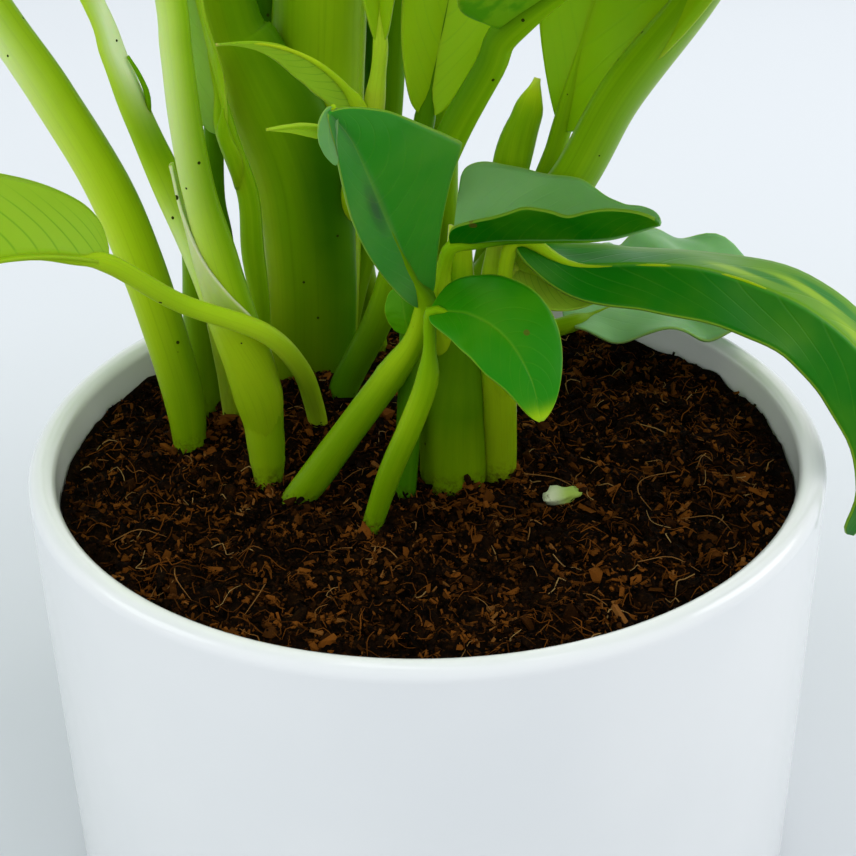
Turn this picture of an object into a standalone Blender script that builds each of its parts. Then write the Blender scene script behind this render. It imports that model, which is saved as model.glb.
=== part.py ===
# Potted dumb cane: a glazed pot of coir soil with a clump of sheathed canes and leaf stalks.
# Lengths in the tables below are millimetres. X is right, Y is away from the front, Z is up,
# and the origin is the middle of the pot's flat bottom.
import math

import bmesh
import bpy
from mathutils import Matrix, Vector, noise

MM = 0.001

POT_RADIUS = 75.0
POT_HEIGHT = 94.5
POT_WALL = 5.0
POT_FLOOR = 6.0
FLOOR_ROUND = 4.0
LIP_ROUND = 2.4
FOOT_ROUND = 3.0
ROUND_STEPS = 4
POT_SIDES = 48

SOIL_LEVEL = 88.0
SOIL_RINGS = (0.0, 9.0, 18.0, 27.0, 36.0, 45.0, 54.0, 62.0)
SOIL_SIDES = 30
LUMP_HEIGHT = 0.9
LUMP_SPREAD = 9.0
MOUND_CENTRE = (-22.0, 20.0)
MOUND_HEIGHT = 7.0
MOUND_SPREAD = 11.0

GAP = 0.3
ROOT_LEVEL = 74.0

FINE_STEPS = 8
STALK_STRIDE = 2.6
SHORTEST_STRIDE = 6.0

LEAF_THICKNESS = 0.8
BASE_SHARE = 0.003
TIP_SHARE = 0.012
BASE_CROWDING = 1.3
WAVE_SHIFT = 0.2
WAVE_REACH = 8.0
RIB_SHARES = (0.0, 0.14, 0.3)
RIB_TAPER = (1.0, 0.7, 0.35)

GREENS = {
    "stem": (0.27, 0.42, 0.05),
    "pale": (0.45, 0.58, 0.16),
    "leaf": (0.06, 0.26, 0.02),
    "shade": (0.10, 0.24, 0.02),
}


def clear_scene():
    for item in list(bpy.data.objects):
        bpy.data.objects.remove(item)


def new_collection(name):
    group = bpy.data.collections.new(name)
    bpy.context.scene.collection.children.link(group)
    return group


def new_material(name, colour, roughness):
    paint = bpy.data.materials.new(name)
    paint.use_nodes = True
    shader = paint.node_tree.nodes["Principled BSDF"]
    shader.inputs["Base Color"].default_value = (*colour, 1.0)
    shader.inputs["Roughness"].default_value = roughness
    shader.inputs["Metallic"].default_value = 0.0
    paint.diffuse_color = (*colour, 1.0)
    return paint


def new_object(name, mesh, group):
    item = bpy.data.objects.new(name, mesh)
    group.objects.link(item)
    return item


def evaluated_mesh(item):
    graph = bpy.context.evaluated_depsgraph_get()
    graph.update()
    return bpy.data.meshes.new_from_object(item.evaluated_get(graph), depsgraph=graph)


def smooth_course(points, radii):
    """Centre points and radii along a smooth curve through the points, a few thicknesses apart."""
    places = [Vector(point) for point in points]
    before = places[0] * 2 - places[1]
    after = places[-1] * 2 - places[-2]
    places = [before, *places, after]
    fine = []
    for index in range(1, len(places) - 2):
        a, b, c, d = places[index - 1:index + 3]
        for step in range(FINE_STEPS):
            t = step / FINE_STEPS
            bend = (2 * b + (c - a) * t + (2 * a - 5 * b + 4 * c - d) * t ** 2
                    + (3 * b - a - 3 * c + d) * t ** 3) * 0.5
            radius = radii[index - 1] + (radii[index] - radii[index - 1]) * t
            fine.append((bend, radius))
    last = (places[-2], radii[-1])
    course = [fine[0]]
    for place, radius in fine[1:]:
        stride = max(STALK_STRIDE * 2 * radius, SHORTEST_STRIDE)
        if (place - course[-1][0]).length >= stride and (last[0] - place).length > stride / 2:
            course.append((place, radius))
    course.append(last)
    return course


def tube(name, course, group, roundness):
    """A tapered stalk: a bevelled curve along its centre points and radii, made a closed mesh."""
    curve = bpy.data.curves.new(name, "CURVE")
    curve.dimensions = "3D"
    curve.bevel_depth = MM
    curve.bevel_resolution = roundness
    curve.use_fill_caps = True
    spline = curve.splines.new("POLY")
    spline.points.add(len(course) - 1)
    for point, (place, radius) in zip(spline.points, course):
        point.co = (*(place * MM), 1.0)
        point.radius = radius
    guide = new_object(name + ".curve", curve, group)
    mesh = evaluated_mesh(guide)
    bpy.data.objects.remove(guide)
    shell = bmesh.new()
    shell.from_mesh(mesh)
    bmesh.ops.remove_doubles(shell, verts=shell.verts, dist=0.00001)
    shell.to_mesh(mesh)
    shell.free()
    return new_object(name, mesh, group)


def arching_course(base, heading, rise, droop, length, steps=8):
    """Points of a midrib that starts at base, rises at an angle and bends down by droop."""
    turn = math.radians(heading)
    place = Vector(base)
    points = [place.copy()]
    for step in range(steps):
        lift = math.radians(rise - droop * ((step + 0.5) / steps) ** 1.2)
        ahead = Vector((math.cos(turn) * math.cos(lift), math.sin(turn) * math.cos(lift), math.sin(lift)))
        place = place + ahead * (length / steps)
        points.append(place.copy())
    return points


def point_on(course, share):
    """Place and direction at a share of the way along a list of points."""
    reach = min(max(share, 0.0), 1.0) * (len(course) - 1)
    index = min(int(reach), len(course) - 2)
    here, there = course[index], course[index + 1]
    before = course[max(index - 1, 0)]
    after = course[min(index + 2, len(course) - 1)]
    local = reach - index
    slope = (there - before).lerp(after - here, local)
    return here.lerp(there, local), slope.normalized()


def outline(share, fullness, taper, corner):
    """Half width of a leaf, as a share of its widest, from base (0) to tip (1); corner makes it a kite."""
    inner = BASE_SHARE + (1 - BASE_SHARE - TIP_SHARE) * share
    widest = fullness / (fullness + taper)
    peak = widest ** fullness * (1 - widest) ** taper
    curved = inner ** fullness * (1 - inner) ** taper / peak
    kite = min(inner / widest, (1 - inner) / (1 - widest))
    return curved + (kite - curved) * corner


def of_half(value, s):
    """A value of a blade's left (s < 0) or right half: one number for both, or a pair."""
    if isinstance(value, tuple):
        return value[1] if s > 0 else value[0]
    return value


def blade(name, course, width, group, side=(0, 0, 0), roll=0.0, fold=18.0, arch=0.1, wave=1.4, waves=2.5,
          fullness=0.55, taper=0.85, lobes=0.12, halves=1.0, corner=0.0, along=11, across=6):
    """A leaf blade: a grid bent to the leaf's outline, fold, arch and waved edge, then thickened."""
    shape = bmesh.new()
    bmesh.ops.create_grid(shape, x_segments=across, y_segments=along, size=1.0)
    steer = Vector(side)
    for vert in shape.verts:
        s = vert.co.x
        half = width / 2 * of_half(halves, s)
        crease = math.radians(of_half(fold, s))
        t = ((vert.co.y + 1) / 2) ** BASE_CROWDING
        place, ahead = point_on(course, t)
        across_way = steer if steer.length else ahead.cross(Vector((0, 0, 1)))
        across_way = (across_way - ahead * across_way.dot(ahead)).normalized()
        across_way = Matrix.Rotation(math.radians(roll), 3, ahead) @ across_way
        up_way = across_way.cross(ahead)
        reach = half * outline(t, of_half(fullness, s), of_half(taper, s), of_half(corner, s))
        lift = reach * abs(s) * math.sin(crease) - reach * of_half(arch, s) * s * s
        swing = math.sin(2 * math.pi * (waves * t + (WAVE_SHIFT if s > 0 else 0.0)))
        ripple = wave * swing * s * s * min(1.0, reach / WAVE_REACH)
        back = half * of_half(lobes, s) * s * s * (1 - t) ** 4 * min(1.0, t * along)
        outward = across_way * (reach * s * math.cos(crease)) - ahead * back
        vert.co = (place + outward + up_way * (lift + ripple)) * MM
    bmesh.ops.triangulate(shape, faces=shape.faces)
    mesh = bpy.data.meshes.new(name)
    shape.to_mesh(mesh)
    shape.free()
    sheet = new_object(name + ".sheet", mesh, group)
    skin = sheet.modifiers.new("thickness", "SOLIDIFY")
    skin.thickness = LEAF_THICKNESS * MM
    skin.offset = 0.0
    solid = evaluated_mesh(sheet)
    bpy.data.objects.remove(sheet)
    return new_object(name, solid, group)


def fuse(name, pieces, paint, group, solver):
    """One solid from the pieces of a shoot."""
    first, others = pieces[0], pieces[1:]
    rest = new_collection(name + ".pieces")
    for item in others:
        group.objects.unlink(item)
        rest.objects.link(item)
    union = first.modifiers.new("union", "BOOLEAN")
    union.operation = "UNION"
    union.operand_type = "COLLECTION"
    union.collection = rest
    union.solver = solver
    mesh = evaluated_mesh(first)
    for item in pieces:
        bpy.data.objects.remove(item)
    bpy.data.collections.remove(rest)
    mesh.materials.clear()
    mesh.materials.append(paint)
    return new_object(name, mesh, group)


class Shoot:
    """Collects the stalks and leaves of one shoot, then fuses them."""

    def __init__(self, name, group, solver="MANIFOLD"):
        self.name = name
        self.group = group
        self.solver = solver
        self.pieces = []
        self.feet = []

    def stalk(self, points, radii, foot=False, roundness=2):
        label = f"{self.name}.stalk{len(self.pieces)}"
        course = smooth_course(points, radii)
        self.pieces.append(tube(label, course, self.group, roundness))
        if foot:
            buried = sum(1 for place, _ in course if place.z < SOIL_LEVEL + MOUND_HEIGHT + LUMP_HEIGHT)
            self.feet.append((course[:buried + 1], roundness))

    def leaf(self, points, radii, course, width, foot=False, **shape):
        """A stalk that runs on as the midrib of its blade."""
        course = [Vector(point) for point in course]
        rib = [point_on(course, share)[0] for share in RIB_SHARES]
        rib_radii = [radii[-1] * taper for taper in RIB_TAPER]
        self.stalk([*points, *rib], [*radii, *rib_radii], foot)
        label = f"{self.name}.blade{len(self.pieces)}"
        self.pieces.append(blade(label, course, width, self.group, **shape))

    def finish(self, paint):
        return fuse(self.name, self.pieces, paint, self.group, self.solver)


def quarter(middle, start_angle):
    """Points of a quarter turn, clockwise, for the pot's profile; middle is (radius, height, round)."""
    radius, height, bend = middle
    points = []
    for step in range(ROUND_STEPS + 1):
        angle = math.radians(start_angle - 90 * step / ROUND_STEPS)
        points.append((radius + bend * math.cos(angle), height + bend * math.sin(angle)))
    return points


def make_pot(group, paint):
    """The pot's wall and floor in one profile, turned about the middle."""
    inner = POT_RADIUS - POT_WALL
    lip_height = POT_HEIGHT - LIP_ROUND
    profile = [(0.0, POT_FLOOR), (inner - FLOOR_ROUND, POT_FLOOR), (inner, POT_FLOOR + FLOOR_ROUND)]
    profile += quarter((inner + LIP_ROUND, lip_height, LIP_ROUND), 180)
    profile += quarter((POT_RADIUS - LIP_ROUND, lip_height, LIP_ROUND), 90)
    profile += quarter((POT_RADIUS - FOOT_ROUND, FOOT_ROUND, FOOT_ROUND), 0)
    profile.append((0.0, 0.0))
    line = bmesh.new()
    corners = [line.verts.new((radius * MM, 0.0, height * MM)) for radius, height in profile]
    for start, end in zip(corners, corners[1:]):
        line.edges.new((start, end))
    mesh = bpy.data.meshes.new("pot")
    line.to_mesh(mesh)
    line.free()
    pot = new_object("pot", mesh, group)
    turn = pot.modifiers.new("turn", "SCREW")
    turn.axis = "Z"
    turn.steps = POT_SIDES
    turn.render_steps = POT_SIDES
    turn.use_merge_vertices = True
    turn.merge_threshold = 0.00001
    turn.use_smooth_shade = True
    mesh.materials.append(paint)
    return pot


def soil_height(x, y):
    """Height of the soil's surface: level, with a mound round the canes and low lumps."""
    away = (x - MOUND_CENTRE[0]) ** 2 + (y - MOUND_CENTRE[1]) ** 2
    mound = MOUND_HEIGHT * math.exp(-away / (2 * MOUND_SPREAD ** 2))
    lumps = LUMP_HEIGHT * noise.noise(Vector((x / LUMP_SPREAD, y / LUMP_SPREAD, 0.5)))
    return SOIL_LEVEL + mound + lumps


def soil_body(group):
    """The soil without its holes: a profile spun about the middle, its top raised by formula."""
    reach = POT_RADIUS - POT_WALL - GAP
    low = POT_FLOOR + GAP
    profile = [(radius, SOIL_LEVEL) for radius in SOIL_RINGS]
    profile += [(reach, SOIL_LEVEL), (reach, low + FLOOR_ROUND), (reach - FLOOR_ROUND, low), (0.0, low)]
    line = bmesh.new()
    corners = [line.verts.new((radius * MM, 0.0, height * MM)) for radius, height in profile]
    edges = [line.edges.new((start, end)) for start, end in zip(corners, corners[1:])]
    bmesh.ops.spin(line, geom=corners + edges, cent=(0, 0, 0), axis=(0, 0, 1), angle=2 * math.pi,
                   steps=SOIL_SIDES, use_merge=True)
    bmesh.ops.remove_doubles(line, verts=line.verts, dist=0.00001)
    bmesh.ops.recalc_face_normals(line, faces=line.faces)
    for vert in line.verts:
        if vert.co.z > (SOIL_LEVEL - 1) * MM:
            vert.co.z = soil_height(vert.co.x / MM, vert.co.y / MM) * MM
    bmesh.ops.triangulate(line, faces=line.faces)
    mesh = bpy.data.meshes.new("soil.body")
    line.to_mesh(mesh)
    line.free()
    return new_object("soil.body", mesh, group)


def make_soil(group, paint, feet):
    """The soil fills the pot, with a plain hole where each stalk stands."""
    body = soil_body(group)
    drills = new_collection("holes")
    for index, (course, roundness) in enumerate(feet):
        (foot, radius), (above, _) = course[:2]
        below = foot - (above - foot).normalized() * GAP
        walls = [(below, radius), *course[1:]]
        cutter = tube(f"hole{index}", [(place, size + GAP) for place, size in walls], drills, roundness)
        cutter.hide_render = True
        cutter.display_type = "WIRE"
    cut = body.modifiers.new("holes", "BOOLEAN")
    cut.operation = "DIFFERENCE"
    cut.operand_type = "COLLECTION"
    cut.collection = drills
    cut.solver = "EXACT"
    solid = evaluated_mesh(body)
    bpy.data.objects.remove(body)
    for cutter in list(drills.objects):
        bpy.data.objects.remove(cutter)
    bpy.data.collections.remove(drills)
    solid.materials.clear()
    solid.materials.append(paint)
    return new_object("soil", solid, group)


def make_main_cane(group):
    """The thick cane: sheathed trunk, its leaf stalks, the new leaf, the curled leaf and a pale shoot."""
    shoot = Shoot("main_cane", group)
    shoot.stalk([(-24.4, 32.3, ROOT_LEVEL), (-24.4, 32.3, 89), (-22.6, 32.5, 108), (-20.8, 33.5, 139),
                 (-18.6, 35, 168), (-16, 37, 205), (-14, 38, 236)], [8.8, 8.8, 9.3, 9.3, 8.9, 7.6, 5.0], foot=True, roundness=4)
    shoot.leaf([(-24.2, 31, 96), (-22.8, 30.5, 108), (-22.8, 30, 127.7), (-24.4, 29, 140.3), (-26.8, 28, 150.4),
                (-30.3, 27.5, 160.5), (-34.2, 27, 170.2), (-40, 22, 215)], [7.2, 8.2, 8.6, 8.5, 8.0, 6.4, 4.7, 2.8],
               arching_course((-46, 16, 258), 222, 52, 95, 132), 62, roll=-8)
    shoot.leaf([(-16, 37, 195), (-12, 34, 232), (-4, 26, 270)], [4.2, 3.6, 2.6],
               arching_course((2, 18, 300), 298, 50, 92, 138), 64, roll=6)
    shoot.leaf([(-16, 38, 200), (-20, 44, 240), (-27, 56, 278)], [4.2, 3.6, 2.6],
               arching_course((-33, 68, 306), 128, 52, 88, 136), 64, roll=-4)
    shoot.stalk([(-14, 38, 225), (-10, 40, 280), (-8, 44, 340), (-3, 47, 388)], [4.4, 3.9, 3.2, 0.7])
    shoot.leaf([(-17, 33, 100), (-13.5, 35, 112), (-9.7, 37, 124), (-6.5, 38, 142), (-4.5, 39, 166),
                (-1, 48, 215)], [3.0, 2.8, 2.7, 2.6, 2.5, 2.2],
               arching_course((6, 60, 252), 68, 46, 84, 126), 58)
    shoot.stalk([(-16, 29, 124), (-12, 22, 138), (-9.4, 17.5, 148), (-8.4, 16, 156)], [2.4, 2.6, 2.6, 1.6])
    shoot.leaf([(-9.8, 18, 145), (-8.5, 16, 153), (-7.4, 16, 160)], [2.0, 1.9, 1.5],
               arching_course((-7, 16, 164), 90, 86, 6, 61), 12, side=(1, 0, 0), fold=40, wave=0.5,
               fullness=0.8, along=8, across=4)
    curl = [(-11.8, 13, 154.5), (-16.5, 9.5, 161.5), (-22, 6.5, 166), (-28, 4, 168.2), (-34.7, 3, 168.4)]
    shoot.leaf([(-11, 19, 143), (-9.4, 17, 148)], [2.0, 1.8], curl, 9, side=(0.35, -0.2, -0.9), fold=(64, 10),
               arch=0, wave=0.25, taper=1.5, halves=(0.6, 1.1), along=8, across=4)
    return shoot


def make_left_stem(group):
    """The slanting stalk on the far left."""
    shoot = Shoot("left_stem", group)
    shoot.leaf([(-46.5, 7, ROOT_LEVEL + 2), (-46.7, 7, 88), (-48.2, 10, 102), (-57.2, 18, 132.4), (-68.3, 25, 152.2),
                (-78.1, 31, 166), (-92, 39, 186)], [3.4, 3.5, 4.0, 4.3, 4.2, 4.0, 2.9],
               arching_course((-104, 46, 204), 158, 40, 88, 122), 58, foot=True)
    return shoot


def make_twin_stem(group):
    """The thick front left stem that forks into two stalks."""
    shoot = Shoot("twin_stem", group)
    shoot.leaf([(-30.2, -6, ROOT_LEVEL), (-30.2, -6, 86), (-30.4, -5, 96), (-31.2, -3.6, 104), (-34.2, -2.6, 118),
                (-36.4, -3, 130.5), (-38.8, -4, 145), (-40, -4, 157), (-40.6, -3, 169), (-41.2, -1, 180),
                (-47, 10, 215)], [2.8, 2.8, 3.7, 4.4, 4.2, 3.6, 2.9, 2.8, 2.7, 2.6, 2.3],
               arching_course((-57, 30, 250), 146, 58, 92, 132), 60, foot=True, roll=5)
    shoot.leaf([(-31.2, -3.6, 100), (-35, -1.5, 112), (-39.4, 2.5, 127), (-44.9, 8, 138.6), (-50.2, 8, 154.7),
                (-53.2, 8, 165.5), (-55.8, 8, 175.1), (-68, 9, 203)], [2.4, 3.0, 3.4, 3.2, 2.6, 2.3, 2.0, 1.9],
               arching_course((-84, 4, 226), 196, 44, 90, 120), 56, roll=-6)
    return shoot


def make_back_left_stem(group):
    """The dark stalk behind the left stems."""
    shoot = Shoot("back_left_stem", group)
    shoot.leaf([(-45.4, 22, ROOT_LEVEL + 2), (-45.4, 22, 88.5), (-45.2, 26, 106), (-45.3, 30, 121.6), (-46, 35, 140),
                (-47.3, 40, 158), (-52, 52, 190)], [4.0, 4.0, 3.6, 3.1, 2.7, 2.5, 2.2],
               arching_course((-64, 74, 222), 146, 24, 72, 118), 56, foot=True, roll=4)
    return shoot


def make_slim_stem(group):
    """A thin stalk with a narrow, waved young leaf."""
    shoot = Shoot("slim_stem", group)
    shoot.leaf([(-34.6, 12, ROOT_LEVEL + 4), (-34.6, 12, 90), (-32.2, 14, 116), (-33.4, 14.5, 133)],
               [2.3, 2.3, 2.3, 2.2],
               arching_course((-36.2, 15.5, 148), 128, 76, 16, 72), 11, foot=True, side=(0.9, -0.4, 0.1), fold=30,
               wave=1.6, waves=3, fullness=0.45, along=10, across=4)
    return shoot


def make_low_left_leaf(group):
    """The thin stalk that crosses in front of the left stems, with a small leaf."""
    shoot = Shoot("low_left_leaf", group)
    shoot.leaf([(-20.8, 12, ROOT_LEVEL + 6), (-21.2, 9.5, 88), (-21.9, 6.5, 97), (-23.6, 0, 108), (-29, -8, 119.3),
                (-42.3, -14.5, 128.4)], [2.1, 2.1, 2.0, 2.0, 1.9, 1.8],
               [(-52.3, -20, 138.2), (-60, -26, 142.4), (-68, -31, 144), (-77, -35.5, 142.5), (-87, -39, 138.5),
                (-97, -42, 132)], 21, foot=True, roll=-44, fold=(60, 4), wave=0.6, fullness=(0.6, 0.4), taper=0.6,
               lobes=(0.0, 0.1), halves=(0.25, 1.5), along=10)
    return shoot


def make_front_tall_leaf(group):
    """The pale slanting stalk in front, with the leaf that points at the viewer."""
    shoot = Shoot("front_tall_leaf", group)
    shoot.leaf([(-27.5, -15.5, ROOT_LEVEL + 7), (-25, -14.5, 87), (-21, -14, 92), (-12.4, -13, 104), (-6, -12, 112.7),
                (-1.8, -12.5, 119.5)], [2.9, 3.0, 3.0, 2.8, 2.7, 2.0],
               [(0.3, -15, 127.6), (-3.1, -20, 137.7), (-5.9, -27, 148), (-8.2, -35, 158.1), (-10.4, -42, 166.8),
                (-13, -46.5, 172.2)], 22, foot=True, side=(0.84, 0.34, 0.43), fold=(16, 2), arch=0.08, wave=0.5,
               waves=1.6, fullness=(0.7, 0.9), taper=1.0, halves=(0.5, 1.5), corner=(0.0, 1.0), along=12)
    return shoot


def make_front_small_leaf(group):
    """The pale curved stalk in front, with the small leaf over the soil."""
    shoot = Shoot("front_small_leaf", group)
    shoot.leaf([(-12, -24, ROOT_LEVEL + 4), (-10.2, -24, 87.5), (-6.4, -24, 99.6), (-2.5, -23.5, 109),
                (0.2, -23.5, 117), (0.8, -24, 124)], [2.0, 2.0, 2.1, 2.1, 2.0, 1.6],
               [(1.1, -25, 130.7), (7.4, -28, 131.4), (13.0, -32, 129.2), (16.9, -36, 123.8), (18.6, -38.5, 117)],
               18.6, foot=True, side=(-0.6, -0.65, -0.45), fold=(6, 2), arch=0.12, wave=0.3, fullness=(0.55, 0.9),
               taper=(0.85, 1.0), halves=(1.05, 0.72), along=10)
    return shoot


def make_slanting_stem(group):
    """The stalk that leans right, with the leaf that is seen from below."""
    shoot = Shoot("slanting_stem", group)
    shoot.leaf([(-5, -14.5, ROOT_LEVEL + 3), (-4.8, -14, 86), (-3.5, -11, 98.2), (-2.7, -8, 110), (-1.8, -4, 123.3),
                (0.2, -2, 138.8), (5.1, -3, 153.2), (11.6, -5.2, 166)],
               [2.4, 2.4, 2.3, 2.3, 2.4, 2.6, 2.8, 2.6],
               arching_course((14.6, -6.4, 172.5), 334, 42, 84, 135), 62, foot=True, roll=17, fold=(12, 46),
               fullness=0.5, lobes=(0.3, 0.2))
    return shoot


def make_pale_upright_leaf(group):
    """A stalk with a light, half rolled upright leaf."""
    shoot = Shoot("pale_upright_leaf", group)
    shoot.leaf([(-18.5, 17, ROOT_LEVEL + 5), (-17, 17, 93), (-8.6, 14, 112), (-3.6, 16, 129), (-0.4, 18, 144)],
               [2.9, 2.9, 2.9, 2.7, 2.0],
               [(0.8, 18.6, 150), (2.9, 19.5, 160), (6, 21.2, 174), (11, 24, 198), (18, 28, 226), (28, 34, 252)], 21,
               foot=True, side=(1, 0.1, 0), fold=28, arch=0.1, wave=0.6, fullness=0.9, taper=0.9, along=10)
    return shoot


def make_right_cane(group):
    """The broad base on the right: thick stalk, folded low leaf, sheath tip and tall leaf behind."""
    shoot = Shoot("right_cane", group)
    shoot.leaf([(5, -6, ROOT_LEVEL), (5, -6, 88), (5.3, -5.6, 104), (7.6, -2, 116.5), (14.5, 2, 128),
                (26.4, 3.5, 142.5), (34.9, 5, 158), (47.1, 8, 173.3), (58, 11, 190)],
               [5.7, 5.7, 5.3, 4.8, 4.5, 4.3, 4.2, 3.9, 3.0],
               arching_course((68, 13, 208), 6, 46, 92, 130), 62, foot=True)
    shoot.leaf([(5.4, -6.4, 100), (4.6, -7.6, 108), (3.2, -9.2, 118), (2.8, -9.8, 126), (3.6, -11, 133)],
               [2.4, 2.4, 2.3, 2.2, 1.8],
               [(5.0, -12, 136.9), (13.4, -14, 138.6), (22.6, -18, 140.2), (30.4, -23, 142.4), (37.9, -28, 146.8)],
               30, fold=(30, 60), arch=0.06, wave=0.5, fullness=(0.1, 0.4), taper=(0.75, 0.5), lobes=0.0,
               halves=(1.3, 0.55))
    shoot.stalk([(8.4, -2, 114), (12.8, 4, 130), (16.6, 8, 146), (19.2, 9.8, 153.4), (20.8, 11.4, 158.5)],
                [2.4, 3.2, 3.1, 2.4, 0.6])
    shoot.leaf([(9, -1, 116), (15.5, 5, 127), (23.0, 10.5, 142.5)], [2.4, 2.4, 2.0],
               arching_course((25.4, 12.6, 149), 42, 74, 78, 129), 50, side=(0.62, -0.72, -0.2), fold=12,
               fullness=0.85, lobes=0.0)
    return shoot


def make_arching_right_leaf(group):
    """The long leaf that arches out over the right rim."""
    shoot = Shoot("arching_right_leaf", group)
    shoot.leaf([(14, -4, ROOT_LEVEL + 4), (13.8, -4.4, 88), (13.6, -7, 103), (13.8, -10.4, 122)],
               [2.6, 2.6, 2.5, 2.0],
               [(15.9, -12, 137.9), (26, -11, 132.8), (38.4, -9, 131.5), (49, -8, 130), (58.5, -8, 126.8),
                (69, -9.5, 122), (78.5, -12.5, 114), (84, -15.5, 102), (83.5, -18.3, 89.5), (78.6, -19, 80.8)], 25,
               foot=True, side=(-0.5, -0.8, 0.1), fold=(2, -34), arch=(0.1, 0.0), wave=0.8, waves=2.2,
               fullness=0.6, taper=0.55, halves=(0.95, 0.9), along=14)
    return shoot


def make_low_back_leaf(group):
    """The low leaf behind, over the back right rim."""
    shoot = Shoot("low_back_leaf", group)
    shoot.leaf([(12, 24, ROOT_LEVEL + 4), (12.5, 24, 88), (17, 25.5, 99)], [2.2, 2.2, 1.9],
               arching_course((29.5, 29, 102), 32, 6, 16, 52), 38, foot=True, roll=14, fold=8, wave=1.3, waves=2.3,
               fullness=0.85, taper=0.5, along=10)
    return shoot


def make_back_stems(group):
    """Three leaf stalks behind the cane, which the photo does not reach."""
    shoots = []
    places = (
        ("back_stem_a", [(-27, 50, ROOT_LEVEL + 2), (-26.5, 50.5, 88), (-26, 54, 130), (-28, 68, 172)],
         (-38, 92, 206), 118, 20, 62, 122),
        ("back_stem_b", [(-11, 49, ROOT_LEVEL + 2), (-11.5, 49, 88), (-15.5, 52, 130), (-13, 62, 172)],
         (-5, 84, 200), 84, 14, 56, 118),
        ("back_stem_c", [(6, 40, ROOT_LEVEL + 2), (5.5, 40, 88), (4.5, 42, 130), (7, 52, 170)],
         (18, 70, 205), 48, 24, 66, 118),
    )
    for name, points, top, heading, rise, droop, length in places:
        shoot = Shoot(name, group)
        shoot.leaf(points, [3.2, 3.2, 2.9, 2.5], arching_course(top, heading, rise, droop, length), 56, foot=True)
        shoots.append(shoot)
    return shoots


def make_scrap(group, paint):
    """The small pale scrap of leaf that lies on the soil."""
    x, y, thickness = 24.2, -13.7, 1.2
    scrap = bmesh.new()
    bmesh.ops.create_uvsphere(scrap, u_segments=10, v_segments=6, radius=1.0)
    bmesh.ops.scale(scrap, vec=(4.2 * MM, 2.2 * MM, thickness * MM), verts=scrap.verts)
    bmesh.ops.rotate(scrap, cent=(0, 0, 0), matrix=Matrix.Rotation(math.radians(14), 3, "Z"), verts=scrap.verts)
    bmesh.ops.translate(scrap, vec=(x * MM, y * MM, (soil_height(x, y) + thickness + GAP) * MM), verts=scrap.verts)
    mesh = bpy.data.meshes.new("leaf_scrap")
    scrap.to_mesh(mesh)
    scrap.free()
    mesh.materials.append(paint)
    return new_object("leaf_scrap", mesh, group)


def main():
    clear_scene()
    group = new_collection("potted dumb cane")
    glaze = new_material("pot glaze", (0.86, 0.87, 0.88), 0.18)
    coir = new_material("coir soil", (0.05, 0.025, 0.012), 0.9)
    shades = {name: new_material(name + " green", colour, 0.4) for name, colour in GREENS.items()}
    shoots = [
        (make_main_cane(group), "stem"),
        (make_left_stem(group), "stem"),
        (make_twin_stem(group), "stem"),
        (make_back_left_stem(group), "shade"),
        (make_slim_stem(group), "pale"),
        (make_low_left_leaf(group), "pale"),
        (make_front_tall_leaf(group), "leaf"),
        (make_front_small_leaf(group), "leaf"),
        (make_slanting_stem(group), "stem"),
        (make_pale_upright_leaf(group), "pale"),
        (make_right_cane(group), "stem"),
        (make_arching_right_leaf(group), "leaf"),
        (make_low_back_leaf(group), "shade"),
    ]
    shoots += [(shoot, "shade") for shoot in make_back_stems(group)]
    feet = [foot for shoot, _ in shoots for foot in shoot.feet]
    for shoot, shade in shoots:
        shoot.finish(shades[shade])
    make_pot(group, glaze)
    make_soil(group, coir, feet)
    make_scrap(group, shades["pale"])


main()
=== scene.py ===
# Potted dumb cane: sheathed stems and leaves in coir soil, in a round glazed pot.
# Points and sizes in the plans are millimetres: X right, Y away from the camera, Z up.
import bmesh
import bpy
import math
import random
from mathutils import Matrix, Vector, noise


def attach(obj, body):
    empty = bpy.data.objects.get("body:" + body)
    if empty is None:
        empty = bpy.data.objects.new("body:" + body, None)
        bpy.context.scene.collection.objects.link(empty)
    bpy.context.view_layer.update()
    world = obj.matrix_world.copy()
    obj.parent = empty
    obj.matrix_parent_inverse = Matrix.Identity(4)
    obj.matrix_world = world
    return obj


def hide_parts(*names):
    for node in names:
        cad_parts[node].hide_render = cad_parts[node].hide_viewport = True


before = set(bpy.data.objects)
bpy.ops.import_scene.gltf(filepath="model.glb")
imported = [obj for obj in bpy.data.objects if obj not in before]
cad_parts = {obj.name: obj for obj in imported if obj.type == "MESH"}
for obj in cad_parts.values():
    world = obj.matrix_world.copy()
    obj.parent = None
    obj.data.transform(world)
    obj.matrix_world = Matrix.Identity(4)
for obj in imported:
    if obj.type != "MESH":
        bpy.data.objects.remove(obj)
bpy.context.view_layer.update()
mm = 0.001
print("frame loaded")


# Helpers for shader nodes: a value is a number, a colour or another node's socket.

def wire(tree, value, socket):
    if isinstance(value, bpy.types.NodeSocket):
        tree.links.new(value, socket)
    else:
        socket.default_value = value


def maths(tree, operation, *values):
    made = tree.nodes.new("ShaderNodeMath")
    made.operation = operation
    for value, socket in zip(values, made.inputs):
        wire(tree, value, socket)
    return made.outputs[0]


def times(tree, first, second):
    return maths(tree, "MULTIPLY", first, second)


def offMiddle(tree, value):
    return maths(tree, "ABSOLUTE", maths(tree, "SUBTRACT", value, 0.5))


def ramp(tree, value, start, end, low=0.0, high=1.0):
    made = tree.nodes.new("ShaderNodeMapRange")
    made.interpolation_type = "SMOOTHSTEP"
    for socket, entry in zip(made.inputs, (value, start, end, low, high)):
        wire(tree, entry, socket)
    return made.outputs[0]


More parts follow.
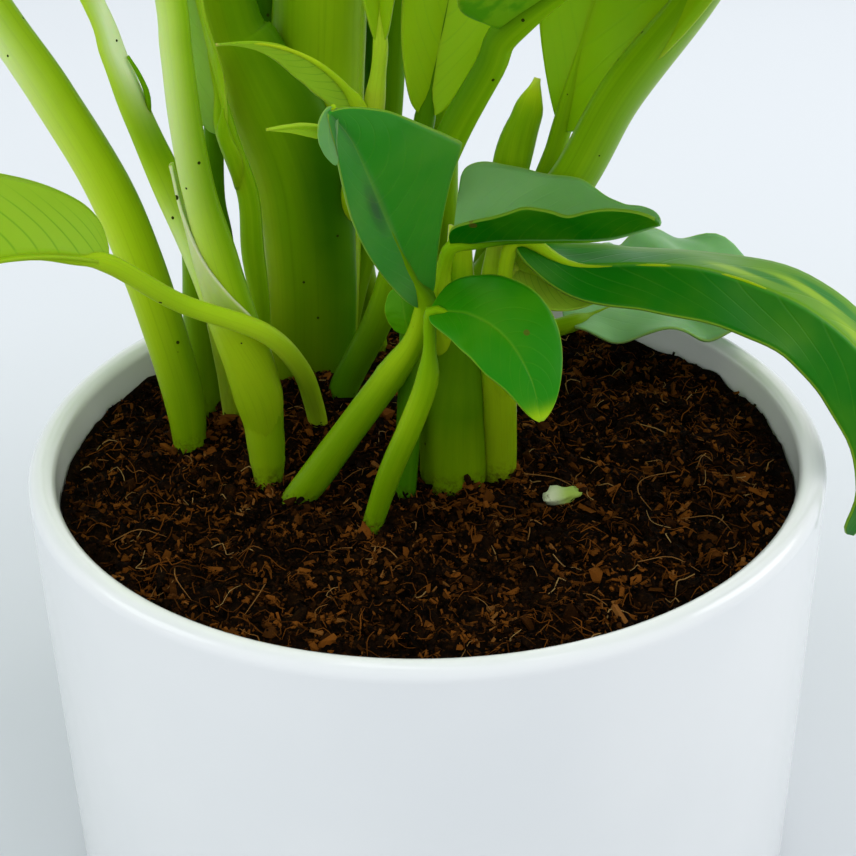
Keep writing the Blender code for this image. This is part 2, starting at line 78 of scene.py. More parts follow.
def mixColour(tree, share, first, second):
    made = tree.nodes.new("ShaderNodeMix")
    made.data_type = "RGBA"
    wire(tree, share, made.inputs["Factor"])
    for name, entry in (("A", first), ("B", second)):
        socket = next(item for item in made.inputs if item.name == name and item.type == "RGBA")
        wire(tree, (*entry, 1.0) if isinstance(entry, tuple) else entry, socket)
    return next(item for item in made.outputs if item.type == "RGBA")


# Lays a look's colours over a body colour, each with the share that it covers.
def coats(tree, body, look, *layers):
    for share, name in layers:
        body = mixColour(tree, share, body, look[name])
    return body


def noiseMask(tree, vector, scale, detail=3.0, roughness=0.5):
    made = tree.nodes.new("ShaderNodeTexNoise")
    for name, entry in (("Vector", vector), ("Scale", scale), ("Detail", detail), ("Roughness", roughness)):
        wire(tree, entry, made.inputs[name])
    return made.outputs[0]


def split(tree, vector):
    made = tree.nodes.new("ShaderNodeSeparateXYZ")
    wire(tree, vector, made.inputs[0])
    return made.outputs


def coordinates(tree, kind):
    return tree.nodes.new("ShaderNodeTexCoord").outputs[kind]


def attribute(tree, name):
    made = tree.nodes.new("ShaderNodeAttribute")
    made.attribute_name = name
    return made.outputs["Fac"]


def newGroup(name, vector, numbers, masks):
    tree = bpy.data.node_groups.new(name, "ShaderNodeTree")
    tree.interface.new_socket(name=vector, in_out="INPUT", socket_type="NodeSocketVector")
    for label in numbers:
        tree.interface.new_socket(name=label, in_out="INPUT", socket_type="NodeSocketFloat")
    for label in masks:
        tree.interface.new_socket(name=label, in_out="OUTPUT", socket_type="NodeSocketFloat")
    return tree, tree.nodes.new("NodeGroupInput").outputs, tree.nodes.new("NodeGroupOutput").inputs


def useGroup(tree, group, **values):
    made = tree.nodes.new("ShaderNodeGroup")
    made.node_tree = group
    for name, entry in values.items():
        wire(tree, entry, made.inputs[name])
    return made.outputs


# Fibre streaks run along a stalk: a noise pulled out along the second UV direction.
def makeStreaks():
    tree, given, result = newGroup("fibre streaks", "Vector", ("Across", "Along"), ("Mask",))
    pull = tree.nodes.new("ShaderNodeCombineXYZ")
    wire(tree, given["Across"], pull.inputs[0])
    wire(tree, given["Along"], pull.inputs[1])
    stretch = tree.nodes.new("ShaderNodeVectorMath")
    stretch.operation = "MULTIPLY"
    wire(tree, given["Vector"], stretch.inputs[0])
    wire(tree, pull.outputs[0], stretch.inputs[1])
    wire(tree, noiseMask(tree, stretch.outputs[0], 1.0, 4.0, 0.6), result["Mask"])
    return tree


# Specks sit in a few cells of a cell pattern, so that they are rare and unevenly spread.
def makeSpecks():
    tree, given, result = newGroup("rare specks", "Vector", ("Scale", "Size", "Share"), ("Mask",))
    cells = tree.nodes.new("ShaderNodeTexVoronoi")
    wire(tree, given["Vector"], cells.inputs["Vector"])
    wire(tree, given["Scale"], cells.inputs["Scale"])
    dot = maths(tree, "LESS_THAN", cells.outputs["Distance"], given["Size"])
    draw = tree.nodes.new("ShaderNodeSeparateColor")
    wire(tree, cells.outputs["Color"], draw.inputs[0])
    wire(tree, times(tree, dot, maths(tree, "LESS_THAN", draw.outputs[0], given["Share"])), result["Mask"])
    return tree


veins = {"ribWidth": 0.085, "ribNarrowing": -0.05, "bend": 1.5, "sideWidth": 0.09,
         "sideFade": (0.95, 0.5, 0.1, 1.0), "margin": (0.965, 0.995)}


# Leaf veins from the blade's own UV map: U runs across the blade and V from its base to its tip.
def makeVeins():
    tree, given, result = newGroup("leaf veins", "UV", ("Pairs", "Slant"), ("Midrib", "Side", "Margin"))
    across, along = split(tree, given["UV"])[:2]
    away = times(tree, offMiddle(tree, across), 2.0)
    ribWidth = maths(tree, "MULTIPLY_ADD", along, veins["ribNarrowing"], veins["ribWidth"])
    wire(tree, ramp(tree, away, ribWidth, 0.0), result["Midrib"])
    sweep = times(tree, maths(tree, "POWER", away, veins["bend"]), given["Slant"])
    phase = times(tree, maths(tree, "SUBTRACT", along, sweep), given["Pairs"])
    line = ramp(tree, offMiddle(tree, maths(tree, "FRACT", phase)), veins["sideWidth"], 0.0)
    wire(tree, times(tree, line, ramp(tree, away, *veins["sideFade"])), result["Side"])
    wire(tree, ramp(tree, away, *veins["margin"]), result["Margin"])
    return tree


fibreStreaks = makeStreaks()
rareSpecks = makeSpecks()
leafVeins = makeVeins()


def streaks(tree, uv, across, along):
    return useGroup(tree, fibreStreaks, Vector=uv, Across=across, Along=along)["Mask"]


def specks(tree, place, scale, size, share):
    return useGroup(tree, rareSpecks, Vector=place, Scale=scale, Size=size, Share=share)["Mask"]


def newMaterial(name, settings):
    material = bpy.data.materials.new(name)
    material.use_nodes = True
    shader = material.node_tree.nodes["Principled BSDF"].inputs
    for label, entry in settings.items():
        shader[label].default_value = entry
    return material, material.node_tree, shader


# Gives a material its colour and a fine relief.
def dress(tree, shader, colour, relief, strength, depth):
    wire(tree, colour, shader["Base Color"])
    made = tree.nodes.new("ShaderNodeBump")
    for name, entry in (("Strength", strength), ("Distance", depth), ("Height", relief)):
        wire(tree, entry, made.inputs[name])
    wire(tree, made.outputs[0], shader["Normal"])


# The inner wall is given a lighter colour than the same glaze outside: painted light against the shade inside
# the pot.
glazeLook = {"white": (0.785, 0.795, 0.795), "cool": (0.755, 0.77, 0.775), "paintedInnerLight": (0.96, 0.96, 0.95),
             "speck": (0.30, 0.28, 0.25), "wallBlend": (0.0740, 0.0715)}


def makeGlaze():
    settings = {"Roughness": 0.2, "Coat Weight": 0.35, "Coat Roughness": 0.12}
    material, tree, shader = newMaterial("white glaze", settings)
    place = coordinates(tree, "Object")
    x, y = split(tree, place)[:2]
    radius = maths(tree, "SQRT", maths(tree, "ADD", times(tree, x, x), times(tree, y, y)))
    body = coats(tree, glazeLook["white"], glazeLook,
        (ramp(tree, noiseMask(tree, place, 22.0, 2.0), 0.35, 0.7), "cool"),
        # painted light on the pot's inner wall
        (ramp(tree, radius, *glazeLook["wallBlend"]), "paintedInnerLight"),
        (specks(tree, place, 170.0, 0.09, 0.02), "speck"))
    dress(tree, shader, body, noiseMask(tree, place, 60.0, 2.0), 0.12, 0.0006)
    return material


# The bands are heights in metres: in the first a stalk darkens towards the soil, painted shade in the root
# colour, and in the second it gathers dust.
stalkLook = {"deep": (0.032, 0.135, 0.0006), "green": (0.175, 0.365, 0.0012), "pale": (0.42, 0.62, 0.008),
             "chalk": (0.54, 0.70, 0.06), "root": (0.10, 0.17, 0.0006), "paintedHighlight": (0.72, 0.84, 0.46),
             "earth": (0.035, 0.016, 0.004), "mark": (0.02, 0.03, 0.002), "ripe": (0.66, 0.60, 0.20),
             "rim": (0.74, 0.80, 0.52), "soilShadeBand": (0.132, 0.096), "dustBand": (0.0925, 0.0875)}
stalkShader = {"Subsurface Weight": 0.35, "Subsurface Radius": (0.5, 1.0, 0.06), "Subsurface Scale": 0.004,
               "Specular IOR Level": 0.1, "Specular Tint": (0.7, 1.0, 0.15, 1.0)}


def makeStalkSkin(name, sheath):
    material, tree, shader = newMaterial(name, stalkShader)
    tone, paintedSheen = attribute(tree, "tone"), attribute(tree, "paintedSheen")
    uv, place = coordinates(tree, "UV"), coordinates(tree, "Object")
    streak, fine = streaks(tree, uv, 11.0, 1.6), streaks(tree, uv, 60.0, 4.0)
    cloud, shade = noiseMask(tree, place, 45.0, 3.0), noiseMask(tree, place, 21.0, 2.0)
    height = split(tree, place)[2]
    # Painted shade: stalks darken towards the soil.
    paintedSoilShade = times(tree, ramp(tree, height, *stalkLook["soilShadeBand"], 0.0, 0.55), ramp(tree, tone, 0.0, 0.35))
    dust = times(tree, ramp(tree, height, *stalkLook["dustBand"], 0.0, 0.8),
                 ramp(tree, noiseMask(tree, place, 900.0, 4.0, 0.7), 0.4, 0.7))
    edge = [(ramp(tree, offMiddle(tree, split(tree, uv)[0]), 0.44, 0.49, 0.0, 0.7), "rim")] if sheath else []
    marks = maths(tree, "MAXIMUM", specks(tree, place, 210.0, 0.10, 0.06),
                  specks(tree, place, 420.0, 0.13, 0.07))
    body = coats(tree, stalkLook["deep"], stalkLook,
        (ramp(tree, tone, 0.0, 0.5), "green"),
        (ramp(tree, tone, 0.45, 0.8), "pale"),
        (ramp(tree, tone, 0.75, 1.0), "chalk"),
        (ramp(tree, streak, 0.38, 0.72, 0.0, ramp(tree, tone, 0.1, 0.5, 0.05, 0.25)), "pale"),
        (ramp(tree, fine, 0.45, 0.8, 0.0, 0.22), "deep"),
        (ramp(tree, cloud, 0.45, 0.75, 0.0, 0.25), "green"),
        (ramp(tree, shade, 0.45, 0.75, 0.0, 0.25), "deep"),
        (paintedSoilShade, "root"),
        # Painted highlight: pale light on the lit edges of stalks and sheaths.
        (times(tree, paintedSheen, ramp(tree, fine, 0.2, 0.6, 0.8, 1.0)), "paintedHighlight"),
        *edge,
        (ramp(tree, tone, 0.98, 1.1), "ripe"),
        (dust, "earth"),
        (marks, "mark"))
    dress(tree, shader, body, maths(tree, "ADD", times(tree, fine, 0.5), streak), 0.2, 0.0004)
    wire(tree, ramp(tree, fine, 0.2, 0.8, 0.32, 0.46), shader["Roughness"])
    return material


leafLook = {"night": (0.003, 0.045, 0.012), "deep": (0.0008, 0.110, 0.0004), "green": (0.012, 0.200, 0.0008),
            "young": (0.285, 0.47, 0.002), "light": (0.28, 0.44, 0.028), "rib": (0.20, 0.38, 0.012),
            "rim": (0.34, 0.45, 0.03), "paintedSheen": (0.22, 0.42, 0.18), "ripe": (0.70, 0.62, 0.16),
            "fleck": (0.12, 0.05, 0.01), "faceRough": (0.32, 0.44), "underRough": (0.48, 0.6)}
leafShader = {"Subsurface Weight": 0.3, "Subsurface Radius": (0.35, 1.0, 0.05), "Subsurface Scale": 0.002,
              "Specular Tint": (0.6, 1.0, 0.45, 1.0)}


def makeLeafSkin(name, under):
    material, tree, shader = newMaterial(name, {**leafShader, "Specular IOR Level": 0.08 if under else 0.16})
    tone, paintedSheen = attribute(tree, "tone"), attribute(tree, "paintedSheen")
    place = coordinates(tree, "Object")
    lines = useGroup(tree, leafVeins, UV=coordinates(tree, "UV"), Pairs=13.0, Slant=0.26)
    cloud = noiseMask(tree, place, 60.0, 3.0)
    body = coats(tree, leafLook["night"], leafLook,
        (ramp(tree, tone, -0.5, -0.02), "deep"),
        (ramp(tree, tone, 0.0, 0.4), "green"),
        (ramp(tree, tone, 0.4, 0.75), "young"),
        (ramp(tree, tone, 0.75, 1.0), "light"),
        (ramp(tree, cloud, 0.35, 0.8, 0.0, 0.14), "young"))
    if under:
        aged = times(tree, ramp(tree, tone, 0.1, 0.5), ramp(tree, tone, 0.76, 0.62))
        mottle = times(tree, ramp(tree, noiseMask(tree, place, 170.0, 3.0), 0.5, 0.62), aged)
        body = coats(tree, body, leafLook,
            (ramp(tree, tone, 0.05, 0.5, 0.0, 0.35), "rib"),
            (times(tree, mottle, 0.55), "green"))
    sideColour = mixColour(tree, ramp(tree, tone, 0.8, 0.92), leafLook["rib"], leafLook["green"])
    sideShare = times(tree, lines["Side"], ramp(tree, tone, 0.45, 0.92, 0.05, 0.4))
    body = coats(tree, mixColour(tree, sideShare, body, sideColour), leafLook,
        (times(tree, lines["Midrib"], 0.24), "rib"),
        # Painted sheen: a grey-green glaze of reflected light on some leaves.
        (times(tree, paintedSheen, ramp(tree, cloud, 0.2, 0.7, 0.65, 1.0)), "paintedSheen"),
        (times(tree, lines["Margin"], 0.4), "rim"),
        (ramp(tree, tone, 0.98, 1.1), "ripe"),
        (times(tree, specks(tree, place, 120.0, 0.1, 0.02), 0.55), "fleck"))
    ribs = maths(tree, "ADD", times(tree, lines["Midrib"], 1.4), times(tree, lines["Side"], 0.35))
    grain = times(tree, noiseMask(tree, place, 900.0, 2.0), 0.12)
    relief = maths(tree, "ADD", grain, times(tree, ribs, 1.0 if under else -1.0))
    dress(tree, shader, body, relief, 0.22, 0.0004)
    rough = leafLook["underRough" if under else "faceRough"]
    wire(tree, ramp(tree, cloud, 0.2, 0.8, *rough), shader["Roughness"])
    return material


coirLook = {"black": (0.0016, 0.0008, 0.0003), "brown": (0.013, 0.0052, 0.0012),
            "rust": (0.160, 0.050, 0.006), "straw": (0.46, 0.31, 0.11)}


def makeCoir(name, lighter):
    material, tree, shader = newMaterial(name, {"Roughness": 0.85, "Specular IOR Level": 0.03})
    place = coordinates(tree, "Object")
    grain = noiseMask(tree, place, 420.0, 5.0, 0.7)
    body = coats(tree, coirLook["black"], coirLook, (ramp(tree, grain, 0.4, 0.75), "brown"))
    if lighter:
        tone = attribute(tree, "tone")
        body = coats(tree, body, coirLook,
            (ramp(tree, tone, 0.05, 0.8), "rust"), (ramp(tree, tone, 0.78, 1.0), "straw"))
    flecks = ramp(tree, noiseMask(tree, place, 1500.0, 2.0), 0.55, 0.85, 0.0, 0.35)
    dress(tree, shader, coats(tree, body, coirLook, (flecks, "rust")), grain, 0.6, 0.0006)
    return material


scrapLook = {"white": (0.62, 0.68, 0.42), "green": (0.33, 0.47, 0.07), "dirt": (0.05, 0.025, 0.008),
             "greenFrom": (0.0225, 0.0262)}


def makeScrapSkin():
    material, tree, shader = newMaterial("dried leaf scrap", {"Roughness": 0.6, "Specular IOR Level": 0.2})
    place = coordinates(tree, "Object")
    body = coats(tree, scrapLook["white"], scrapLook,
        (ramp(tree, split(tree, place)[0], *scrapLook["greenFrom"]), "green"),
        (ramp(tree, noiseMask(tree, place, 900.0, 3.0), 0.6, 0.75, 0.0, 0.7), "dirt"))
    dress(tree, shader, body, noiseMask(tree, place, 320.0, 3.0), 0.5, 0.0006)
    return material


glaze = makeGlaze()
stalkSkin = makeStalkSkin("stalk skin", sheath=False)
sheathSkin = makeStalkSkin("sheath skin", sheath=True)
leafFace = makeLeafSkin("leaf upper side", under=False)
leafBack = makeLeafSkin("leaf underside", under=True)
coir = makeCoir("coir", lighter=False)
coirBits = makeCoir("coir bits", lighter=True)
scrapSkin = makeScrapSkin()
print("materials made")


def newShape():
    shape = bmesh.new()
    shape.loops.layers.uv.verify()
    shape.verts.layers.float.new("tone")
    shape.verts.layers.float.new("paintedSheen")
    return shape


def addObject(name, data):
    item = bpy.data.objects.new(name, data)
    bpy.context.scene.collection.objects.link(item)
    return item


def addMesh(name, shape, materials):
    mesh = bpy.data.meshes.new(name)
    shape.to_mesh(mesh)
    shape.free()
    for material in materials:
        mesh.materials.append(material)
    return addObject(name, mesh)


# Turns a bmesh into a finished piece that rides on the model and stands for its CAD node.
def finishPiece(name, shape, materials, node):
    for face in shape.faces:
        face.smooth = True
    piece = addMesh(name, shape, materials)
    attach(piece, "root")
    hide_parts(node)
    return piece


# A flat grid, with its UV map, bent into place by a function of U (across) and V (along).
def bentGrid(shape, across, along, place, tone, paintedSheen):
    toneLayer = shape.verts.layers.float["tone"]
    sheenLayer = shape.verts.layers.float["paintedSheen"]
    made = bmesh.ops.create_grid(shape, x_segments=across, y_segments=along, size=0.5, calc_uvs=True)
    for vert in made["verts"]:
        u, v = vert.co.x + 0.5, vert.co.y + 0.5
        vert.co = place(u, v) * mm
        vert[toneLayer] = tone(u, v)
        vert[sheenLayer] = paintedSheen(u, v)
    return made["verts"]


# The easy bend from b to c, with neighbours a and d: the same for stalks and blades, so nothing kinks.
def easyBend(a, b, c, d, share):
    return (2 * b + (c - a) * share + (2 * a - 5 * b + 4 * c - d) * share ** 2
            + (3 * b - a - 3 * c + d) * share ** 3) * 0.5


# A smooth route through a plan's points, in even short steps; a point's fourth value is the radius there.
def smoothRoute(points, step):
    places = [Vector(point[:3]) for point in points]
    radii = [point[3] for point in points]
    places = [places[0] * 2 - places[1], *places, places[-1] * 2 - places[-2]]
    fine = []
    for index in range(1, len(places) - 2):
        corners = places[index - 1:index + 3]
        pieces = max(2, math.ceil((corners[2] - corners[1]).length / step))
        for share in (count / pieces for count in range(pieces)):
            ease = share * share * (3 - 2 * share)
            radius = radii[index - 1] + (radii[index] - radii[index - 1]) * ease
            fine.append((easyBend(*corners, share), radius))
    fine.append((places[-2], radii[-1]))
    return fine


# For each point of a route, the ways to its face and its side, which turn as little as they can.
def routeAxes(route, facing):
    axes = []
    face = Vector(facing).normalized()
    for index in range(len(route)):
        ahead = (route[min(index + 1, len(route) - 1)][0] - route[max(index - 1, 0)][0]).normalized()
        face = (face - ahead * face.dot(ahead)).normalized()
        axes.append((face, ahead.cross(face)))
    return axes


def between(items, share):
    reach = min(max(share, 0.0), 1.0) * (len(items) - 1)
    index = min(int(reach), len(items) - 2)
    return index, reach - index


# A route's middle and radius, and the ways to its face and its side, at a share of its length.
def crossSection(route, axes, share):
    index, local = between(route, share)
    (centre, radius), (nextCentre, nextRadius) = route[index:index + 2]
    (face, side), (nextFace, nextSide) = axes[index:index + 2]
    return (centre.lerp(nextCentre, local), radius + (nextRadius - radius) * local,
            face.lerp(nextFace, local), side.lerp(nextSide, local))


def archingRoute(start, heading, rise, droop, length, steps=8):
    turn = math.radians(heading)
    place = Vector(start)
    points = [place.copy()]
    for step in range(steps):
        lift = math.radians(rise - droop * ((step + 0.5) / steps) ** 1.2)
        ahead = Vector((math.cos(turn) * math.cos(lift), math.sin(turn) * math.cos(lift), math.sin(lift)))
        place = place + ahead * (length / steps)
        points.append(place.copy())
    return points


def pointOn(points, share):
    index, local = between(points, share)
    here, there = points[index], points[index + 1]
    before, after = points[max(index - 1, 0)], points[min(index + 2, len(points) - 1)]
    ahead = (there - before).lerp(after - here, local).normalized()
    return easyBend(before, here, there, after, local), ahead


# Lumps are pairs of height and spread; the calm width at the wall keeps the soil's edge even there.
soil = {"level": 88.0, "reach": 69.6, "bottom": 60.0, "mound": 7.0, "moundAt": (-22.0, 20.0),
        "moundSpread": 11.0, "swell": 0.9, "swellSpread": 9, "sunk": 0.9,
        "lumps": ((1.9, 6.5), (1.5, 3.0), (0.8, 1.4), (0.4, 0.7)), "bank": 0.4, "bankSpread": 1.6,
        "calmWidth": 5.0, "calmest": 0.25, "rim": 0.9, "skirt": 0.05, "grid": (400, 120)}


def soilHeight(x, y):
    away = (x - soil["moundAt"][0]) ** 2 + (y - soil["moundAt"][1]) ** 2
    rise = soil["mound"] * math.exp(-away / (2 * soil["moundSpread"] ** 2))
    spot = Vector((x / soil["swellSpread"], y / soil["swellSpread"], 0.5))
    return soil["level"] + rise + soil["swell"] * noise.noise(spot)


def crumbHeight(x, y):
    spot = Vector((x, y, 0.0))
    banked = max((math.exp(-(max(0.0, math.hypot(x - footX, y - footY) - radius) / soil["bankSpread"]) ** 2)
                  for footX, footY, radius in feet), default=0.0)
    rough = sum(height * noise.noise(spot / spread) for height, spread in soil["lumps"])
    calm = min(1.0, soil["calmest"] + (soil["reach"] - spot.length) / soil["calmWidth"])
    return soilHeight(x, y) - soil["sunk"] + soil["bank"] * banked + rough * calm


# Where each stalk leaves the soil, with its radius: crumbs are heaped round these.
feet = []


# Soft patches of painted light and shade on a stalk: how far up, how long, how strong, and the angle that
# they look to or None.
def patchAt(patches, angle, along):
    total = 0.0
    for at, reach, amount, towards in patches:
        aimed = 1.0 if towards is None else (0.5 + 0.5 * math.cos(math.radians(angle - towards))) ** 3
        total += amount * aimed * math.exp(-((along - at) / reach) ** 2)
    return total


# Steps are the lengths of a route's pieces; the groove and wings lie round a stalk's facing side.
stalkForm = {"step": 1.8, "grooveAngle": 0.42, "wingAngle": 0.75, "wingSpread": 0.2, "ring": 0.05,
             "ringLength": 0.9, "uneven": 0.02}


# A stalk: round, with an open groove and two low wings on its facing side, and rings at its nodes.
# Its tone may be a pair, for its left side and its right side: the lighter value paints light on its lit side
# and the darker paints shade on the other.
def growStalk(shape, points, tone, facing=(0.3, -1, 0), groove=0.0, wings=0.0, wingEnd=0.6, rings=(),
              sides=28, flat=0.0, patches=(), paintedHighlights=()):
    route = smoothRoute(points, stalkForm["step"])
    axes = routeAxes(route, facing)
    leftTone, rightTone = tone if isinstance(tone, tuple) else (tone, tone)
    travelled = [0.0]
    for (here, _), (there, _) in zip(route, route[1:]):
        travelled.append(travelled[-1] + (there - here).length)
    if route[0][0].z < soil["level"] - 3 and sides > 8:
        bare = soil["level"] + 1
        feet.append(next((place.x, place.y, radius) for place, radius in route if place.z > bare))

    def alongAt(v):
        index, local = between(route, v)
        return travelled[index] + (travelled[index + 1] - travelled[index]) * local

    def place(u, v):
        centre, radius, face, side = crossSection(route, axes, v)
        angle = 2 * math.pi * (u - 0.5)
        fade = max(0.0, 1 - v / wingEnd)
        wing = (abs(angle) - stalkForm["wingAngle"]) / stalkForm["wingSpread"]
        swell = 1 - groove * math.exp(-(angle / stalkForm["grooveAngle"]) ** 2) * (0.4 + 0.6 * fade)
        swell += wings * math.exp(-wing ** 2) * fade ** 0.6
        along = alongAt(v)
        for ring in rings:
            swell += stalkForm["ring"] * math.exp(-((along - ring) / stalkForm["ringLength"]) ** 2)
        spot = Vector((math.cos(angle) * 1.5, math.sin(angle) * 1.5, along * 0.08)) + centre * 0.01
        swell += stalkForm["uneven"] * noise.noise(spot)
        return centre + (face * math.cos(angle) * (1 - flat) + side * math.sin(angle)) * radius * swell

    def shade(u, v):
        value = leftTone + (rightTone - leftTone) * (0.5 + 0.5 * math.sin(2 * math.pi * (u - 0.5)))
        return value + patchAt(patches, 360 * (u - 0.5), alongAt(v))

    # Painted highlights along the stalk, from its list of highlights.
    def sheenAt(u, v):
        return patchAt(paintedHighlights, 360 * (u - 0.5), alongAt(v))

    verts = bentGrid(shape, sides, len(route) * 2 - 2, place, shade, sheenAt)
    bmesh.ops.remove_doubles(shape, verts=verts, dist=0.000001)
    ends = [edge for edge in shape.edges if edge.is_boundary]
    bmesh.ops.holes_fill(shape, edges=ends, sides=0)


sheathForm = {"step": 2.0, "across": 16, "along": 26, "uneven": 0.15, "tuck": 0.8, "tuckEnd": 0.15,
              "tipFrom": 0.6, "footEnd": 0.38, "highlightAt": 0.76, "highlightReach": 0.36, "slot": 2}


# A thin sheath wrapped part of the way round a stalk: opens gives the two angles that it covers,
# first at its foot and then at its tip, counted from its facing side to the right.
def growSheath(shape, points, opens, tone, tip=None, foot=None, paintedHighlight=0.0):
    route = smoothRoute(points, sheathForm["step"])
    axes = routeAxes(route, (0, -1, 0))
    (footFrom, footTo), (tipFrom, tipTo) = opens

    def place(u, v):
        centre, radius, face, side = crossSection(route, axes, v)
        ease = v * v * (3 - 2 * v)
        start, stop = footFrom + (tipFrom - footFrom) * ease, footTo + (tipTo - footTo) * ease
        angle = math.radians(start + (stop - start) * u)
        spread = radius + sheathForm["uneven"] * noise.noise(Vector((u * 3, v * 5, radius)))
        spread -= sheathForm["tuck"] * max(0.0, 1 - v / sheathForm["tuckEnd"])
        return centre + (face * math.cos(angle) + side * math.sin(angle)) * spread

    def shade(u, v):
        value = tone if foot is None else tone + (foot - tone) * max(0.0, 1 - v / sheathForm["footEnd"])
        tipShare = max(0.0, (v - sheathForm["tipFrom"]) / 0.4) ** 2
        return value if tip is None else value + (tip - tone) * tipShare

    # A painted highlight on the sheath, strongest towards its upper part.
    def sheenAt(u, v):
        return paintedHighlight * max(0.0, 1 - ((v - sheathForm["highlightAt"]) / sheathForm["highlightReach"]) ** 2) ** 2

    made = bentGrid(shape, sheathForm["across"], sheathForm["along"], place, shade, sheenAt)
    for face in {face for vert in made for face in vert.link_faces}:
        face.material_index = sheathForm["slot"]


# Half a blade's width, from its base to its tip, as a share of its widest; a corner makes it a kite.
def leafOutline(share, fullness, taper, corner):
    inner = 0.003 + 0.985 * share
    widest = fullness / (fullness + taper)
    curved = inner ** fullness * (1 - inner) ** taper / (widest ** fullness * (1 - widest) ** taper)
    kite = min(inner / widest, (1 - inner) / (1 - widest))
    return curved + (kite - curved) * corner


# One half's value, where a plan may give a pair for the two halves of a blade.
def ofHalf(value, s):
    return value[1 if s > 0 else 0] if isinstance(value, tuple) else value


bladeForm = {"along": 56, "across": 22, "crowding": 1.3, "waveShift": 0.2, "waveReach": 8, "tipFrom": 0.84,
             "tipLength": 0.16, "thickness": 0.55}


# A blade: folded along its midrib, arched, and waved along its edge.
def growBlade(shape, route, width, tone, paintedSheen=0.0, side=(0, 0, 0), roll=0.0, fold=18.0, arch=0.1, wave=1.4,
              waves=2.5, fullness=0.55, taper=0.85, lobes=0.12, halves=1.0, ruffle=0.35, tip=None, spots=(),
              corner=0.0):
    route = [Vector(point) for point in route]
    steer = Vector(side)
    half = width / 2
    seed = route[0].x * 0.13

    def frameAt(t):
        place, ahead = pointOn(route, t)
        acrossWay = steer if steer.length else ahead.cross(Vector((0, 0, 1)))
        acrossWay = (acrossWay - ahead * acrossWay.dot(ahead)).normalized()
        acrossWay = Matrix.Rotation(math.radians(roll), 3, ahead) @ acrossWay
        return place, ahead, acrossWay, acrossWay.cross(ahead)

    def place(u, v):
        s = 2 * u - 1
        t = v ** bladeForm["crowding"]
        centre, ahead, acrossWay, up = frameAt(t)
        outline = leafOutline(t, ofHalf(fullness, s), ofHalf(taper, s), ofHalf(corner, s))
        reach = half * ofHalf(halves, s) * outline
        crease = math.radians(ofHalf(fold, s))
        lift = reach * abs(s) * math.sin(crease) - reach * ofHalf(arch, s) * s * s
        swing = math.sin(2 * math.pi * (waves * t + (bladeForm["waveShift"] if s > 0 else 0.0)))
        near = min(1.0, reach / bladeForm["waveReach"])
        ripple = wave * swing * s * s * near
        ripple += ruffle * noise.noise(Vector((t * 9, s * 1.5 + seed, seed))) * (0.3 + s * s) * near
        back = half * ofHalf(lobes, s) * s * s * (1 - t) ** 4 * min(1.0, t * 12)
        return centre + acrossWay * (reach * s * math.cos(crease)) - ahead * back + up * (lift + ripple)

    # A blade's tone may be a pair for its two halves: a half folded down away from the light is given a
    # darker value, painted shade.
    def shade(u, v):
        value = ofHalf(tone, 2 * u - 1)
        for spotU, spotV, size, change in spots:
            value += change * math.exp(-((u - spotU) ** 2 + (v - spotV) ** 2) / size ** 2)
        tipShare = max(0.0, (v - bladeForm["tipFrom"]) / bladeForm["tipLength"]) ** 2
        return value if tip is None else value + (tip - value) * tipShare

    # Painted sheen, given for each half of the blade.
    def sheenAt(u, v):
        return ofHalf(paintedSheen, 2 * u - 1)

    bentGrid(shape, bladeForm["across"], bladeForm["along"], place, shade, sheenAt)
    return frameAt


# A stalk runs on as its blade's midrib: where along the blade, how thick there, and how far below it.
rib = {"shares": (0.0, 0.12, 0.28, 0.48, 0.7, 0.9), "taper": (1.0, 0.52, 0.34, 0.24, 0.16, 0.08),
       "thinnest": 0.12, "below": 0.55}


# Grows one shoot from its plan: its stalks as one piece, its blades as another, both standing for the node.
def growShoot(plan):
    stalks = newShape()
    blades = newShape()
    for stalk in plan.get("stalks", []):
        growStalk(stalks, **stalk)
    for sheath in plan.get("sheaths", []):
        growSheath(blades, **sheath)
    for stalk, blade in plan["leaves"]:
        frameAt = growBlade(blades, **blade)
        points = list(stalk["points"])
        for share, taper in zip(rib["shares"], rib["taper"]):
            radius = max(rib["thinnest"], stalk["points"][-1][3] * taper)
            place, _, _, up = frameAt(share)
            points.append((*(place - up * radius * (rib["below"] if share else 0.0)), radius))
        growStalk(stalks, **{**stalk, "points": points})
    finishPiece(plan["name"] + ".stalks", stalks, [stalkSkin], plan["node"])
    skins = [leafFace, leafBack, sheathSkin, sheathSkin]
    leaves = finishPiece(plan["name"] + ".leaves", blades, skins, plan["node"])
    skin = leaves.modifiers.new("thickness", "SOLIDIFY")
    skin.thickness = bladeForm["thickness"] * mm
    skin.offset = 0.0
    skin.material_offset = 1
    skin.material_offset_rim = 0
    print(plan["name"], "grown")


pot = {"radius": 75.0, "height": 94.5, "wall": 5.0, "floor": 6.0, "lip": 2.4, "foot": 3.0, "corner": 4.0,
       "rings": [30.0, 60.0], "sides": 160}


